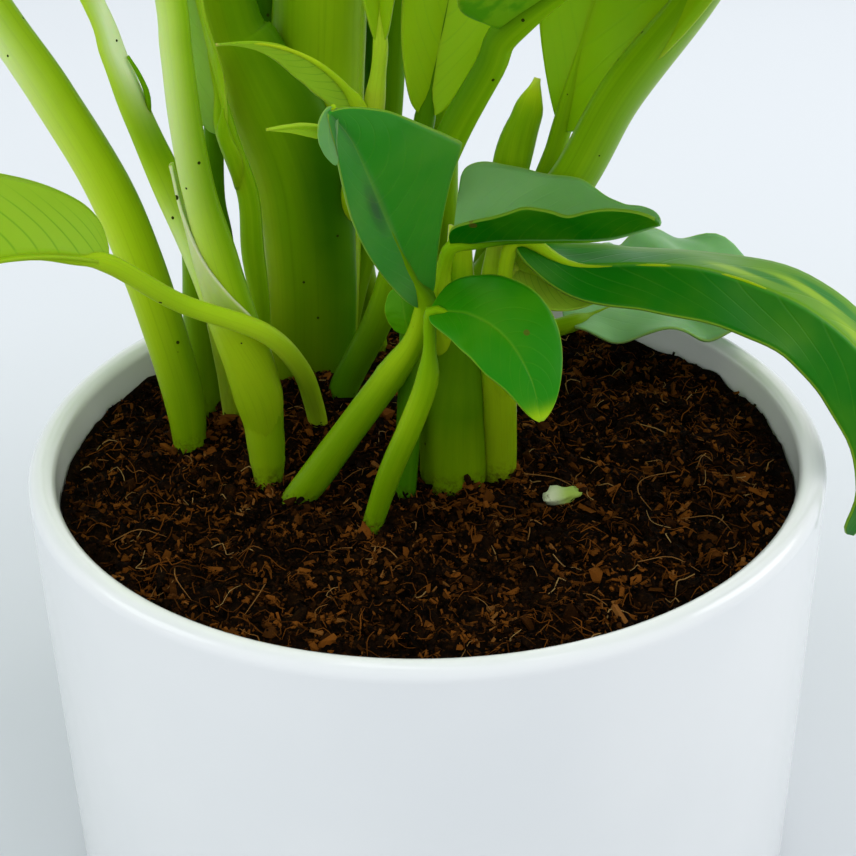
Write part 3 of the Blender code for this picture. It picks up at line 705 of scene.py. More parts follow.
# The pot's profile is turned about its middle; each arc has enough steps to look round close up.
def makePot():
    shape = newShape()
    inner = pot["radius"] - pot["wall"]
    lipHeight = pot["height"] - pot["lip"]

    def arc(radius, height, bend, start, steps=8):
        for step in range(steps + 1):
            angle = math.radians(start - 90 * step / steps)
            yield radius + bend * math.cos(angle), height + bend * math.sin(angle)

    profile = [(0.0, pot["floor"]), (inner - pot["corner"], pot["floor"])]
    profile += list(arc(inner - pot["corner"], pot["floor"] + pot["corner"], -pot["corner"], 90))[::-1]
    profile += [(inner, height) for height in pot["rings"]]
    profile += arc(inner + pot["lip"], lipHeight, pot["lip"], 180)
    profile += arc(pot["radius"] - pot["lip"], lipHeight, pot["lip"], 90)
    profile += [(pot["radius"], height) for height in reversed(pot["rings"])]
    profile += arc(pot["radius"] - pot["foot"], pot["foot"], pot["foot"], 0)
    profile.append((0.0, 0.0))
    corners = [shape.verts.new((radius * mm, 0.0, height * mm)) for radius, height in profile]
    edges = [shape.edges.new(pair) for pair in zip(corners, corners[1:])]
    bmesh.ops.spin(shape, geom=corners + edges, cent=(0, 0, 0), axis=(0, 0, 1), angle=2 * math.pi,
                   steps=pot["sides"], use_merge=True)
    bmesh.ops.remove_doubles(shape, verts=shape.verts, dist=0.00001)
    bmesh.ops.recalc_face_normals(shape, faces=shape.faces)
    finishPiece("pot.glazed", shape, [glaze], "pot")
    print("pot turned")


# The grid runs out from the middle over the bed, down the wall, and back under to the middle.
def makeSoil():
    shape = newShape()

    def place(u, v):
        angle = 2 * math.pi * u
        under = v > 1 - soil["skirt"]
        reach = soil["reach"] * ((1 - v) / soil["skirt"] if under else min(1.0, v / soil["rim"]))
        x, y = reach * math.cos(angle), reach * math.sin(angle)
        low = under or v > soil["rim"] + soil["skirt"] / 2
        return Vector((x, y, soil["bottom"] if low else crumbHeight(x, y)))

    verts = bentGrid(shape, *soil["grid"], place, lambda u, v: 0.2, lambda u, v: 0.0)
    bmesh.ops.remove_doubles(shape, verts=verts, dist=0.00001)
    bmesh.ops.recalc_face_normals(shape, faces=shape.faces)
    finishPiece("soil.bed", shape, [coir], "soil")


# Many small forms are joined to a piece a batch at a time, which is much quicker than one by one.
def joinBatch(whole, batch):
    mesh = bpy.data.meshes.new("batch")
    batch.to_mesh(mesh)
    batch.free()
    whole.from_mesh(mesh)
    bpy.data.meshes.remove(mesh)


# Widths are shares of a bit's size, or spans to draw them from; heaped is how many lie round each foot.
bits = {
    "crumbs": {"count": 6600, "size": (0.3, 0.85), "large": 0.08, "swell": 0.7,
               "widths": ((0.9, 2.4), 1, (0.5, 0.9)), "tones": (0.72, 0.76)},
    "shreds": {"count": 9000, "size": (0.6, 2.2), "large": 0.06, "swell": 0.0,
               "widths": (1, (0.1, 0.34), (0.08, 0.22)), "tones": (0.74, 0.82)},
}
scatter = {"seed": 17, "edge": 0.985, "heaped": 50, "heapReach": 3.4, "heapHeight": 1.6, "tilts": (0.5, 0.6),
           "largeSize": 1.7, "clumps": 1.6, "clumpSpread": 7.0, "leastClump": 0.25, "darkness": 2.6,
           "jitter": 0.24, "batch": 150}


# Loose coir: round crumbs pressed a little into the bed, and split shreds that lie on it.
def makeBits(kind):
    plan = bits[kind]
    draw = random.Random(scatter["seed"])
    whole = newShape()
    spots = []
    for _ in range(plan["count"]):
        reach = soil["reach"] * math.sqrt(draw.random()) * scatter["edge"]
        angle = draw.uniform(0, 2 * math.pi)
        spots.append((reach * math.cos(angle), reach * math.sin(angle), 0.0))
    for x, y, radius in feet:
        for _ in range(scatter["heaped"]):
            away = draw.uniform(0.0, 1.0)
            angle = draw.uniform(0, 2 * math.pi)
            reach = radius + 0.2 + scatter["heapReach"] * away
            lift = draw.uniform(0.0, scatter["heapHeight"]) * (1 - away) ** 2
            spots.append((x + reach * math.cos(angle), y + reach * math.sin(angle), lift))
    for start in range(0, len(spots), scatter["batch"]):
        batch = newShape()
        toneLayer = batch.verts.layers.float["tone"]
        for x, y, lift in spots[start:start + scatter["batch"]]:
            turn = Matrix.Rotation(draw.uniform(0, 2 * math.pi), 4, "Z")
            for tilt, axis in zip(scatter["tilts"], "YX"):
                turn = turn @ Matrix.Rotation(draw.gauss(0, tilt), 4, axis)
            clump = noise.noise(Vector((x, y, scatter["clumpSpread"])) / scatter["clumpSpread"])
            clump = max(scatter["leastClump"], 1.0 + scatter["clumps"] * clump)
            size = draw.uniform(*plan["size"])
            size *= scatter["largeSize"] if draw.random() < plan["large"] else 1.0
            size *= 1 + plan["swell"] * min(1.0, lift)
            scale = [size * (draw.uniform(*width) if isinstance(width, tuple) else width)
                     for width in plan["widths"]]
            height = crumbHeight(x, y) + (-0.2 * size if kind == "crumbs" else draw.uniform(0.0, 0.5)) + lift
            place = Matrix.Translation(Vector((x, y, height)) * mm) @ turn
            place = place @ Matrix.Diagonal((*[item * mm for item in scale], 1.0))
            if kind == "crumbs":
                made = bmesh.ops.create_icosphere(batch, subdivisions=1, radius=1.0, matrix=place)
            else:
                made = bmesh.ops.create_cube(batch, size=1.0, matrix=place)
            shade, lightest = plan["tones"]
            tone = min(lightest, draw.random() ** scatter["darkness"] * shade * clump)
            for vert in made["verts"]:
                shift = Vector((draw.gauss(0, 1), draw.gauss(0, 1), draw.gauss(0, 1)))
                vert.co += shift * scatter["jitter"] * sorted(scale)[1] * mm
                vert[toneLayer] = tone
        joinBatch(whole, batch)
    piece = finishPiece("soil." + kind, whole, [coirBits], "soil")
    for face in piece.data.polygons:
        face.use_smooth = False
    print("soil", kind, "scattered")


# Thin roots and husk fibres that lie on the bed; the long ones follow the photo.
fibre = {"long": [[(-57, -27), (-52, -25), (-47, -26)], [(-44, -37), (-43, -42), (-40, -46)],
                  [(-28, -41), (-29, -46), (-31, -50)], [(47, -7), (41, -9), (39, -15), (42, -21)],
                  [(18, -7), (25, -10), (31, -16)], [(36, -38), (42, -37), (47, -40)],
                  [(46, -22), (52, -23), (55, -28)]],
         "longThickness": 0.11, "longTone": 0.84, "longLift": (0.8, 2.0), "endLift": 0.3,
         "thickness": (0.06, 0.13), "lift": (0.1, 1.3), "count": 1500, "points": 4, "shortest": 1.5,
         "wander": 0.5, "edge": 0.96, "margin": 0.5, "seed": 12, "batch": 40}


def makeFibres():
    draw = random.Random(fibre["seed"])
    whole = newShape()
    routes = []
    for line in fibre["long"]:
        lift = [fibre["endLift"], *[draw.uniform(*fibre["longLift"]) for _ in line[2:]], fibre["endLift"]]
        points = [(x, y, crumbHeight(x, y) + up + 0.3) for (x, y), up in zip(line, lift)]
        routes.append((points, fibre["longThickness"], fibre["longTone"]))
    bound = soil["reach"] - fibre["margin"]
    for _ in range(fibre["count"]):
        reach = soil["reach"] * math.sqrt(draw.random()) * fibre["edge"]
        angle, heading, length = (draw.uniform(0, 6.28) for _ in range(3))
        length = fibre["shortest"] + length * 0.8
        points = []
        for step in range(fibre["points"]):
            x = reach * math.cos(angle) + (step - 1.5) * length / 3 * math.cos(heading)
            y = reach * math.sin(angle) + (step - 1.5) * length / 3 * math.sin(heading)
            heading += draw.gauss(0, fibre["wander"])
            if math.hypot(x, y) > bound:
                x, y = (item * bound / math.hypot(x, y) for item in (x, y))
            points.append((x, y, crumbHeight(x, y) + draw.uniform(*fibre["lift"])))
        routes.append((points, draw.uniform(*fibre["thickness"]), 0.3 + 0.62 * draw.random() ** 1.6))
    for start in range(0, len(routes), fibre["batch"]):
        batch = newShape()
        for points, radius, tone in routes[start:start + fibre["batch"]]:
            *points, last = [(*point, radius) for point in points]
            growStalk(batch, [*points, (*last[:3], radius * 0.5)], tone, facing=(0, 0, 1), sides=4)
        joinBatch(whole, batch)
    finishPiece("soil.fibres", whole, [coirBits], "soil")
    print("fibres laid")


makePot()

# The shoots' plans: plain stalks, sheaths, and leaves as pairs of a stalk and the blade that it carries.
# Arching routes make the crown above the photo's edge.

# Tone pairs and patches in the plans paint light and shade onto the stalks: a lit side and a shaded side,
# shade low down by the soil, and lighter and darker stretches where the light falls.
growShoot(dict(name="mainCane", node="main_cane", slot="stem", stalks=[
    dict(points=[(-24.4, 32.3, 74, 8.8), (-24.4, 32.3, 89, 8.8), (-22.6, 32.5, 108, 9.3),
         (-20.8, 33.5, 139, 9.3), (-18.6, 35, 168, 8.9), (-16, 37, 205, 7.6), (-14, 38, 236, 5.0)],
         tone=(0.64, 0.6), sides=56, groove=0.03, patches=[(90, 12, -0.4, -115)]),
    dict(points=[(-14, 38, 225, 4.4), (-10, 40, 280, 3.9), (-8, 44, 340, 3.2), (-3, 47, 388, 0.7)], tone=0.7,
         groove=0.15),
    # This stalk and the next get the darkest tone, and the cane's patch darkens its side towards them:
    # painted shade in the gap behind the cane.
    dict(points=[(-22, 35, 136, 3.0), (-27, 37, 155, 4.2), (-29, 38.5, 168, 3.9), (-29, 41, 182, 2.0),
         (-28, 43, 192, 0.3)], tone=0.0),
    dict(points=[(-18, 37, 100, 2.4), (-14, 41, 116, 2.4), (-11.2, 44, 132, 2.1), (-9.8, 45, 146.5, 1.9),
         (-9.8, 45, 160, 1.8), (-10.4, 44, 172, 1.3), (-11.4, 43, 180, 0.3)], tone=0.0, sides=18),
    dict(points=[(-16, 29, 124, 1.8), (-12, 22, 138, 2.6), (-9.4, 17.5, 148, 2.6), (-8.4, 16, 156, 1.5)],
         tone=0.75),
], leaves=[
    (dict(points=[(-24.4, 28.3, 84, 8.6), (-22.8, 28.1, 108, 9.1), (-22.8, 27.8, 127.7, 9.3),
         (-24.4, 27, 140.3, 9.3), (-27.6, 26, 150.4, 9.2), (-32.0, 26, 160.5, 7.0), (-35.2, 26, 170.2, 5.4),
         (-41, 22, 215, 2.8)], tone=(0.84, 0.14), flat=0.35, facing=(0, -1, 0), sides=48,
         patches=[(46, 20, -0.3, 25), (12, 14, -0.1, None)]),
     dict(route=archingRoute((-46, 16, 258), 222, 52, 95, 132), width=62, roll=-8, tone=0.5)),
    (dict(points=[(-16, 37, 195, 4.2), (-12, 34, 232, 3.6), (-4, 26, 270, 2.6)], tone=0.5),
     dict(route=archingRoute((2, 18, 300), 298, 50, 92, 138), width=64, roll=6, tone=0.5)),
    (dict(points=[(-16, 38, 200, 4.2), (-20, 44, 240, 3.6), (-27, 56, 278, 2.6)], tone=0.5),
     dict(route=archingRoute((-33, 68, 306), 128, 52, 88, 136), width=64, roll=-4, tone=0.5)),
    (dict(points=[(-17, 33, 100, 3.0), (-13.5, 35, 112, 2.8), (-9.7, 37, 124, 2.7), (-6.5, 38, 142, 2.6),
         (-4.5, 39, 166, 2.5), (-1, 48, 215, 2.2)], tone=0.25),
     dict(route=archingRoute((6, 60, 252), 68, 46, 84, 126), width=58, tone=0.4)),
    (dict(points=[(-9.6, 17.5, 146, 2.3), (-8.5, 16, 153, 2.0), (-7.4, 16, 160, 1.4)], tone=0.85),
     dict(route=archingRoute((-7, 16, 164), 90, 86, 6, 61), width=12, side=(1, 0, 0), fold=40, wave=0.5,
         fullness=0.8, tone=0.75)),
    (dict(points=[(-11, 19, 143, 2.0), (-9.4, 17, 148, 1.6)], tone=0.8),
     dict(route=[(-11.8, 13, 154.5), (-16.5, 9.5, 161.5), (-22, 6.5, 166), (-28, 4, 168.2),
         (-34.7, 3, 168.4)], width=9, side=(0.35, -0.2, -0.9), fold=(64, 10), arch=0, wave=0.25, ruffle=0.5,
         fullness=0.55, taper=2.0, halves=(0.6, 1.1), tone=(0.8, 0.9), tip=1.08)),
]))

growShoot(dict(name="leftStem", node="left_stem", slot="stem", leaves=[
    (dict(points=[(-46.5, 7, 76, 3.0), (-46.7, 7, 88, 3.3), (-48.2, 10, 102, 4.1), (-57.2, 18, 132.4, 4.4),
         (-68.3, 25, 152.2, 4.2), (-78.1, 31, 166, 4.0), (-92, 39, 186, 2.9)], tone=(0.9, 0.6), groove=0.06,
         patches=[(15, 18, -0.3, None)], paintedHighlights=[(112, 26, 1.0, -80)]),
     dict(route=archingRoute((-104, 46, 204), 158, 40, 88, 122), width=58, tone=0.5)),
]))

growShoot(dict(name="twinStem", node="twin_stem", slot="stem", stalks=[
    dict(points=[(-49.0, 8, 152.5, 0.9), (-48.0, 7.5, 158, 0.55), (-49.0, 7.3, 162, 0.45),
         (-50.6, 7, 165.6, 0.3)], tone=0.3, sides=10),
], sheaths=[
    dict(points=[(-30.4, -5, 96, 3.8), (-31.4, -3.6, 105, 4.35), (-34.2, -2.7, 118, 4.3),
         (-36.5, -3, 129, 3.95), (-39.0, -3.2, 141.5, 3.35), (-40.4, -3.5, 150, 3.0)],
         opens=((-170, 150), (-110, -80)), tone=0.7, paintedHighlight=0.65),
], leaves=[
    (dict(points=[(-30.2, -6, 74, 2.5), (-30.2, -6, 86, 2.8), (-30.4, -5, 96, 3.6), (-31.2, -3.6, 104, 4.15),
         (-34.2, -2.6, 118, 4.1), (-36.4, -3, 130.5, 3.6), (-38.8, -4, 145, 2.95), (-40, -4, 157, 2.8),
         (-40.6, -3, 169, 2.7), (-41.2, -1, 180, 2.6), (-47, 10, 215, 2.3)], tone=(0.85, 0.45), groove=0.05,
         rings=(17,), paintedHighlights=[(90, 24, 0.6, -80)]),
     dict(route=archingRoute((-57, 30, 250), 146, 58, 92, 132), width=60, roll=5, tone=0.5)),
    (dict(points=[(-31.2, -3.6, 100, 1.6), (-35, -1.5, 112, 3.0), (-39.4, 2.5, 127, 3.4),
         (-44.9, 8, 138.6, 3.2), (-50.2, 8, 154.7, 2.6), (-53.2, 8, 165.5, 2.3), (-55.8, 8, 175.1, 1.9),
         (-68, 9, 203, 1.9)], tone=(0.8, 0.62), groove=0.08, patches=[(56, 7, -0.15, None)],
         paintedHighlights=[(74, 9, 1.7, 50), (34, 9, 0.5, -70)]),
     dict(route=archingRoute((-84, 4, 226), 196, 44, 90, 120), width=56, roll=-6, tone=0.5)),
]))

growShoot(dict(name="backLeftStem", node="back_left_stem", slot="shaded_leaf", stalks=[
    dict(points=[(-39.0, 16, 80, 1.9), (-39.2, 16, 90.5, 1.9), (-40, 16, 100.7, 1.7), (-41.4, 16, 109.3, 1.2),
         (-42.0, 16.4, 113, 0.4)], tone=(0.95, 0.75), sides=18),
    dict(points=[(-39.2, 16, 90, 1.5), (-39.4, 17, 103, 1.5), (-38.4, 19, 114, 1.7), (-38.6, 20, 125.7, 2.0),
         (-39.4, 20, 134, 1.9), (-38.9, 20, 144, 1.9), (-38, 20, 153.4, 1.7), (-37, 21, 162, 0.3)], tone=0.12,
         sides=18),
], leaves=[
    (dict(points=[(-45.4, 22, 76, 4.0), (-45.4, 22, 88.5, 4.0), (-45.2, 26, 106, 3.6),
         (-45.3, 30, 121.6, 3.1), (-46, 35, 140, 2.7), (-47.3, 40, 158, 2.5), (-52, 52, 190, 2.2)],
         tone=(0.42, 0.3)),
     dict(route=archingRoute((-64, 74, 222), 146, 24, 72, 118), width=56, roll=4, tone=0.35)),
]))

growShoot(dict(name="slimStem", node="slim_stem", slot="young_leaf", stalks=[
    dict(points=[(-33.4, 13.4, 139, 1.4), (-34.4, 12.6, 145, 1.5), (-35.8, 12.4, 149.5, 1.3),
         (-35.6, 13, 154, 0.3)], tone=0.55, sides=14),
], leaves=[
    (dict(points=[(-34.2, 12, 78, 2.3), (-33.6, 12, 90, 2.3), (-31.6, 12.6, 112, 1.9), (-32.2, 13, 126, 2.2),
         (-32.4, 13.6, 137.5, 2.0)], tone=(0.6, 0.42)),
     dict(route=archingRoute((-35.6, 14.6, 149), 128, 76, 16, 72), width=12, side=(0.9, -0.4, 0.1),
         fold=(10, 42), wave=2.2, waves=3.5, fullness=0.35, tone=(0.66, 0.78), halves=(1.0, 0.62),
         paintedSheen=(0.3, 0.0), ruffle=0.8)),
]))

growShoot(dict(name="lowLeftLeaf", node="low_left_leaf", slot="young_leaf", leaves=[
    (dict(points=[(-20.8, 12, 80, 1.9), (-21.2, 9.5, 88, 1.9), (-21.9, 6.5, 97, 1.9), (-23.6, 0, 108, 1.85),
         (-29, -8, 119.3, 1.8), (-42.3, -14.5, 128.4, 1.7)], tone=(0.85, 0.8)),
     dict(route=[(-52.3, -20, 138.2), (-60, -26, 142.4), (-68, -31, 144), (-77, -35.5, 142.5),
         (-87, -39, 138.5), (-97, -42, 132)], width=21, roll=-44, fold=(60, 4), wave=0.6, fullness=(0.6, 0.4),
         taper=0.6, halves=(0.25, 1.5), lobes=(0.0, 0.1), tone=(0.8, 0.9))),
]))

growShoot(dict(name="frontTallLeaf", node="front_tall_leaf", slot="leaf", leaves=[
    (dict(points=[(-27.5, -15.5, 81, 2.4), (-25, -14.5, 87, 2.7), (-21, -14, 92, 3.0), (-12.4, -13, 104, 2.8),
         (-6, -12, 112.7, 2.7), (-1.8, -12.5, 119.5, 2.0)], tone=(0.54, 0.1), groove=0.05, rings=(38, 52),
         patches=[(44, 12, 0.3, -30)]),
     dict(route=[(0.3, -15, 127.6), (-3.1, -20, 137.7), (-5.9, -27, 148), (-8.2, -35, 158.1),
         (-10.4, -42, 166.8), (-13, -46.5, 172.2)], width=22, side=(0.84, 0.34, 0.43), fold=(16, 2),
         arch=0.08, wave=0.5, waves=1.6, fullness=(0.7, 0.9), taper=1.0, halves=(0.5, 1.5), corner=(0.0, 1.0),
         tone=(0.32, 0.42), paintedSheen=(0.2, 0.08), spots=[(0.4, 0.57, 0.08, -0.9), (0.5, 0.92, 0.12, -0.25)])),
    (dict(points=[(-12.0, -43, 169.2, 0.4), (-12.6, -44.5, 171, 0.4)], tone=0.6),
     dict(route=[(-12.4, -45.6, 172.8), (-13.2, -45.8, 170.4), (-13.4, -44.6, 166.8), (-12.6, -42.6, 163.2)],
         width=3.0, side=(0.9, 0.3, 0), fold=14, wave=0.2, fullness=0.6, taper=0.8, tone=0.35, paintedSheen=0.7)),
    (dict(points=[(-3.0, -11, 117, 0.6), (-3.0, -11.2, 119.6, 0.4)], tone=0.5),
     dict(route=[(-3.0, -11.5, 120.3), (-3.3, -12.4, 123), (-3.7, -12.4, 126), (-4.0, -11.4, 129)], width=7.0,
         side=(0.95, -0.1, 0), fold=-10, wave=0.1, fullness=0.5, taper=0.5, tone=0.5)),
    (dict(points=[(-12.0, -40, 165.4, 0.4), (-13.2, -40.5, 167.0, 0.4)], tone=0.8),
     dict(route=[(-14.2, -41.5, 167.8), (-18, -42, 168.6), (-22.6, -42, 168.4)], width=2.5,
         side=(0, -0.4, 0.9), fold=20, wave=0.2, fullness=0.5, taper=1.6, tone=0.84)),
]))

growShoot(dict(name="frontSmallLeaf", node="front_small_leaf", slot="leaf", leaves=[
    (dict(points=[(-12, -24, 78, 1.7), (-10.2, -24, 87.5, 1.9), (-6.4, -24, 99.6, 2.1),
         (-2.5, -23.5, 109, 2.1), (0.2, -23.5, 117, 2.0), (0.8, -24, 124, 1.1)], tone=(0.4, 0.14),
         patches=[(34, 10, 0.25, None)]),
     dict(route=[(1.1, -25, 130.7), (7.4, -28, 131.4), (13.0, -32, 129.2), (16.9, -36, 123.8),
         (18.6, -38.5, 117)], width=18.6, side=(-0.6, -0.65, -0.45), fold=(6, 2), arch=0.12, wave=0.3,
         halves=(1.05, 0.72), fullness=(0.55, 0.9), taper=(0.85, 1.0), tone=(0.34, 0.4), tip=0.92)),
]))

growShoot(dict(name="slantingStem", node="slanting_stem", slot="stem", leaves=[
    (dict(points=[(-5, -14.5, 77, 2.4), (-4.8, -14, 86, 2.4), (-3.5, -11, 98.2, 2.3), (-2.7, -8, 110, 2.3),
         (-1.8, -4, 123.3, 2.4), (0.2, -2, 138.8, 2.6), (5.1, -3, 153.2, 2.8), (11.6, -5.2, 166, 2.6)],
         tone=(0.16, 0.58), patches=[(16, 24, -0.5, None)]),
     dict(route=archingRoute((14.6, -6.4, 172.5), 334, 42, 84, 135), width=62, roll=17, fold=(12, 46),
         fullness=0.5, lobes=(0.3, 0.2), tone=0.55)),
]))

growShoot(dict(name="paleUprightLeaf", node="pale_upright_leaf", slot="young_leaf", leaves=[
    (dict(points=[(-18.5, 17, 79, 2.9), (-17, 17, 93, 2.9), (-8.6, 14, 112, 2.9), (-3.6, 16, 129, 2.7),
         (-0.4, 18, 144, 2.0)], tone=0.1, patches=[(50, 16, 0.45, None)]),
     dict(route=[(0.8, 18.6, 150), (2.9, 19.5, 160), (6, 21.2, 174), (11, 24, 198), (18, 28, 226),
         (28, 34, 252)], width=21, side=(1, 0.1, 0), fold=28, wave=0.6, fullness=0.9, taper=0.9,
         tone=(0.74, 0.8))),
]))

growShoot(dict(name="rightCane", node="right_cane", slot="stem", stalks=[
    dict(points=[(8.4, -2, 114, 2.2), (12.8, 4, 130, 3.0), (16.6, 8, 146, 2.9), (19.2, 9.8, 153.4, 2.1),
         (20.6, 11.2, 157.5, 0.5)], tone=(0.25, 0.7)),
], sheaths=[
    dict(points=[(13.0, 4.2, 131, 3.1), (16.7, 8.1, 146.6, 3.1), (19.2, 9.8, 153.4, 2.5),
         (20.9, 11.5, 159, 0.4)], opens=((-170, 110), (-175, 60)), tone=0.42, tip=1.04),
    dict(points=[(4.8, -5.9, 80, 6.2), (4.9, -5.9, 90, 6.1), (5.2, -5.6, 104, 5.7), (5.9, -6.2, 114, 4.4),
         (6.0, -7.0, 124, 3.2), (6.6, -6.6, 139, 2.0)], opens=((-150, 96), (-70, 60)), tone=0.16, tip=1.0,
         foot=0.74),
    dict(points=[(13.6, -4.4, 80, 3.3), (13.6, -4.8, 90, 3.2), (13.4, -6.6, 104, 3.1), (12.9, -6.4, 115, 3.0),
         (12.9, -5.2, 126, 2.7), (13.6, -4.4, 139, 1.4)], opens=((-130, 110), (-80, 40)), tone=0.7, tip=0.98),
], leaves=[
    (dict(points=[(5, -6, 74, 5.1), (5, -6, 88, 5.4), (5.3, -5.6, 104, 5.3), (7.6, -2, 116.5, 4.8),
         (14.5, 2, 128, 4.5), (26.4, 3.5, 142.5, 4.3), (34.9, 5, 158, 4.2), (47.1, 8, 173.3, 3.9),
         (58, 11, 190, 3.0)], tone=(0.36, 0.4), sides=40, patches=[(14, 26, -0.3, None)],
         paintedHighlights=[(118, 40, 0.55, 205)], groove=0.1, wings=0.05, wingEnd=0.9, facing=(-1, 0, 0.6)),
     dict(route=archingRoute((68, 13, 208), 6, 46, 92, 130), width=62, tone=0.5)),
    (dict(points=[(5.6, -3.6, 98, 1.6), (5.0, -5.4, 108, 2.4), (3.6, -8.4, 118, 2.3), (2.8, -9.8, 126, 2.2),
         (3.6, -11, 133, 1.3)], tone=0.72, patches=[(56, 16, -0.75, None)]),
     dict(route=[(5.0, -12, 136.9), (13.4, -14, 138.6), (22.6, -18, 140.2), (30.4, -23, 142.4),
         (37.9, -28, 146.8)], width=30, fold=(30, 60), arch=0.06, wave=0.5, fullness=(0.06, 0.4),
         taper=(0.75, 0.5), halves=(1.3, 0.55), lobes=0.0, tone=(0.5, 0.02), paintedSheen=(0.75, 0.0))),
    (dict(points=[(9, -1, 116, 2.0), (15.5, 5, 127, 2.4), (23.0, 10.5, 142.5, 1.9)], tone=0.55),
     dict(route=archingRoute((25.4, 12.6, 149), 42, 74, 78, 129), width=50, side=(0.62, -0.72, -0.2), fold=12,
         fullness=(1.1, 0.7), halves=(1.0, 1.2), lobes=0.0, tone=0.68)),
]))

growShoot(dict(name="archingRightLeaf", node="arching_right_leaf", slot="leaf", leaves=[
    (dict(points=[(14, -4, 78, 2.4), (13.8, -4.4, 88, 2.6), (13.6, -7, 103, 2.5), (13.8, -10.4, 122, 1.4)],
         tone=(0.72, 0.6)),
     dict(route=[(15.9, -12, 137.9), (26, -11, 132.8), (38.4, -9, 131.5), (49, -8, 130), (58.5, -8, 126.8),
         (69, -9.5, 122), (78.5, -12.5, 114), (84, -15.5, 102), (83.5, -18.3, 89.5), (78.6, -19, 80.8)],
         width=25, side=(-0.5, -0.8, 0.1), fold=(2, -34), wave=0.9, waves=2.2, fullness=0.6, taper=0.55,
         halves=(0.95, 0.9), arch=(0.1, 0.0), tone=(0.55, 0.12), spots=[(0.3, 0.2, 0.16, -0.35),
         (0.36, 0.5, 0.045, 0.3), (0.24, 0.62, 0.05, 0.3), (0.3, 0.56, 0.04, -0.3), (0.16, 0.66, 0.05, -0.3),
         (0.38, 0.72, 0.05, 0.25)])),
    (dict(points=[(13.6, -9, 118, 1.2), (14.2, -9.4, 126, 1.2)], tone=0.9),
     dict(route=[(15.2, -9, 131.5), (20, -8.4, 129.4), (26, -8, 127), (32, -7.6, 125.4)], width=11,
         side=(-0.3, -0.6, -0.7), fold=10, wave=0.4, tone=(0.85, 0.92))),
]))

growShoot(dict(name="lowBackLeaf", node="low_back_leaf", slot="shaded_leaf", leaves=[
    (dict(points=[(12, 24, 78, 2.2), (12.5, 24, 88, 2.2), (17, 25.5, 99, 1.9)], tone=0.4),
     dict(route=archingRoute((29.5, 29, 102), 32, 6, 16, 52), width=38, roll=14, fold=8, wave=1.7, waves=3.4,
         fullness=0.85, taper=0.5, ruffle=1.6, tone=0.4, paintedSheen=0.95)),
]))

# Stalks behind the cane: their points, and the start, heading, rise, droop and length of their leaves.
backStems = {
    "a": ([(-27, 50, 76, 3.2), (-26.5, 50.5, 88, 3.2), (-26, 54, 130, 2.9), (-28, 68, 172, 2.5)],
          (-38, 92, 206), 118, 20, 62, 122),
    "b": ([(-11, 49, 76, 3.2), (-11.5, 49, 88, 3.2), (-15.5, 52, 130, 2.9), (-13, 62, 172, 2.5)],
          (-5, 84, 200), 84, 14, 56, 118),
    "c": ([(6, 40, 76, 3.2), (5.5, 40, 88, 3.2), (4.5, 42, 130, 2.9), (7, 52, 170, 2.5)],
          (18, 70, 205), 48, 24, 66, 118),
}
for letter, (points, *course) in backStems.items():
    growShoot(dict(name="backStem." + letter, node="back_stem_" + letter, slot="shaded_leaf", leaves=[
        (dict(points=points, tone=0.35), dict(route=archingRoute(*course), width=56, tone=0.35)),
    ]))

makeSoil()
makeBits("crumbs")
makeBits("shreds")
makeFibres()

scrap = {"at": (24.7, -14.6), "above": 1.1, "size": (3.5, 2.2, 1.4), "turn": 14, "crumple": 0.4,
         "creases": 1.7}


# A dried scrap of leaf on the soil, crumpled by a noise.
def makeScrap():
    shape = newShape()
    x, y = scrap["at"]
    bmesh.ops.create_icosphere(shape, subdivisions=3, radius=1.0)
    for vert in shape.verts:
        vert.co *= 1 + scrap["crumple"] * noise.noise(vert.co * scrap["creases"] + Vector((3, 1, 4)))
    turn = Matrix.Rotation(math.radians(scrap["turn"]), 3, "Z")
    bmesh.ops.scale(shape, vec=[item * mm for item in scrap["size"]], verts=shape.verts)
    bmesh.ops.rotate(shape, cent=(0, 0, 0), matrix=turn, verts=shape.verts)
    bmesh.ops.translate(shape, vec=Vector((x, y, crumbHeight(x, y) + scrap["above"])) * mm, verts=shape.verts)
    finishPiece("leafScrap", shape, [scrapSkin], "leaf_scrap")


makeScrap()

stage = {"floorSize": 40.0, "floor": (0.615, 0.64, 0.66), "floorCool": (0.59, 0.615, 0.64),
         "sky": (0.93, 0.965, 1.0), "skyStrength": 1.1}


def makeFloorPaint():
    material, tree, shader = newMaterial("pale floor", {"Roughness": 0.55})
    grain = noiseMask(tree, coordinates(tree, "Object"), 3.0, 2.0)
    wire(tree, mixColour(tree, grain, stage["floor"], stage["floorCool"]), shader["Base Color"])
    return material


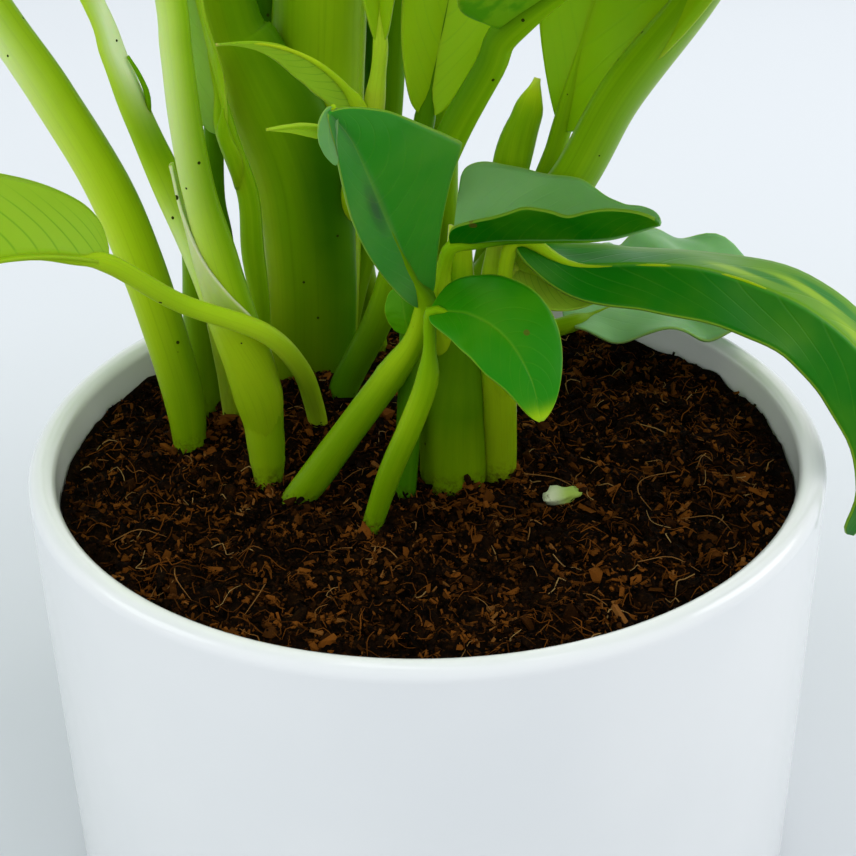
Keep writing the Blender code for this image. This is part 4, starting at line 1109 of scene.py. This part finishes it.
def makeStage():
    shape = bmesh.new()
    bmesh.ops.create_grid(shape, x_segments=8, y_segments=8, size=stage["floorSize"] / 2)
    floor = addMesh("floor", shape, [makeFloorPaint()])
    world = bpy.data.worlds.new("soft daylight")
    world.use_nodes = True
    sky = world.node_tree.nodes["Background"].inputs
    sky["Color"].default_value = (*stage["sky"], 1.0)
    sky["Strength"].default_value = stage["skyStrength"]
    bpy.context.scene.world = world
    bpy.context.scene.view_settings.view_transform = "Standard"


lamps = {
    "above": {"at": (0.1, 0.25, 1.3), "aim": (0, 0, 0.15), "size": 0.9, "power": 3.5,
              "colour": (1, 1, 1)},
    "left": {"at": (-0.95, -0.1, 0.8), "aim": (0, 0, 0.12), "size": 0.7, "power": 1.9,
             "colour": (0.93, 1, 0.98)},
    "right": {"at": (1.0, 0.2, 0.75), "aim": (0, 0, 0.12), "size": 0.7, "power": 3.6,
              "colour": (1, 0.965, 0.985)},
}


def makeLamps():
    for name, plan in lamps.items():
        lamp = bpy.data.lights.new(name, "AREA")
        lamp.shape = "DISK"
        lamp.size = plan["size"]
        lamp.energy = plan["power"]
        lamp.color = plan["colour"]
        item = addObject(name, lamp)
        item.location = plan["at"]
        item.rotation_euler = (Vector(plan["aim"]) - Vector(plan["at"])).to_track_quat("-Z", "Y").to_euler()


view = {"at": (0.0, -0.264, 0.243), "down": 29.36, "turn": 0.06, "tilt": -1.02, "focal": 1581.0,
        "frame": 856.0, "sensor": 36.0, "nearest": 0.01}


# The camera that the pot's outline in the photo gives; focal is in pixels of the photo's frame.
def makeCamera():
    camera = bpy.data.cameras.new("camera")
    camera.sensor_width = view["sensor"]
    camera.lens = view["focal"] * view["sensor"] / view["frame"]
    camera.clip_start = view["nearest"]
    item = addObject("camera", camera)
    turn = Matrix.Rotation(-math.radians(view["turn"]), 4, "Z")
    lean = Matrix.Rotation(math.radians(90 - view["down"]), 4, "X")
    tilt = Matrix.Rotation(math.radians(view["tilt"]), 4, "Z")
    item.matrix_world = Matrix.Translation(view["at"]) @ (turn @ lean) @ tilt
    bpy.context.scene.camera = item


makeStage()
makeLamps()
makeCamera()
print("stage, lamps and camera set")
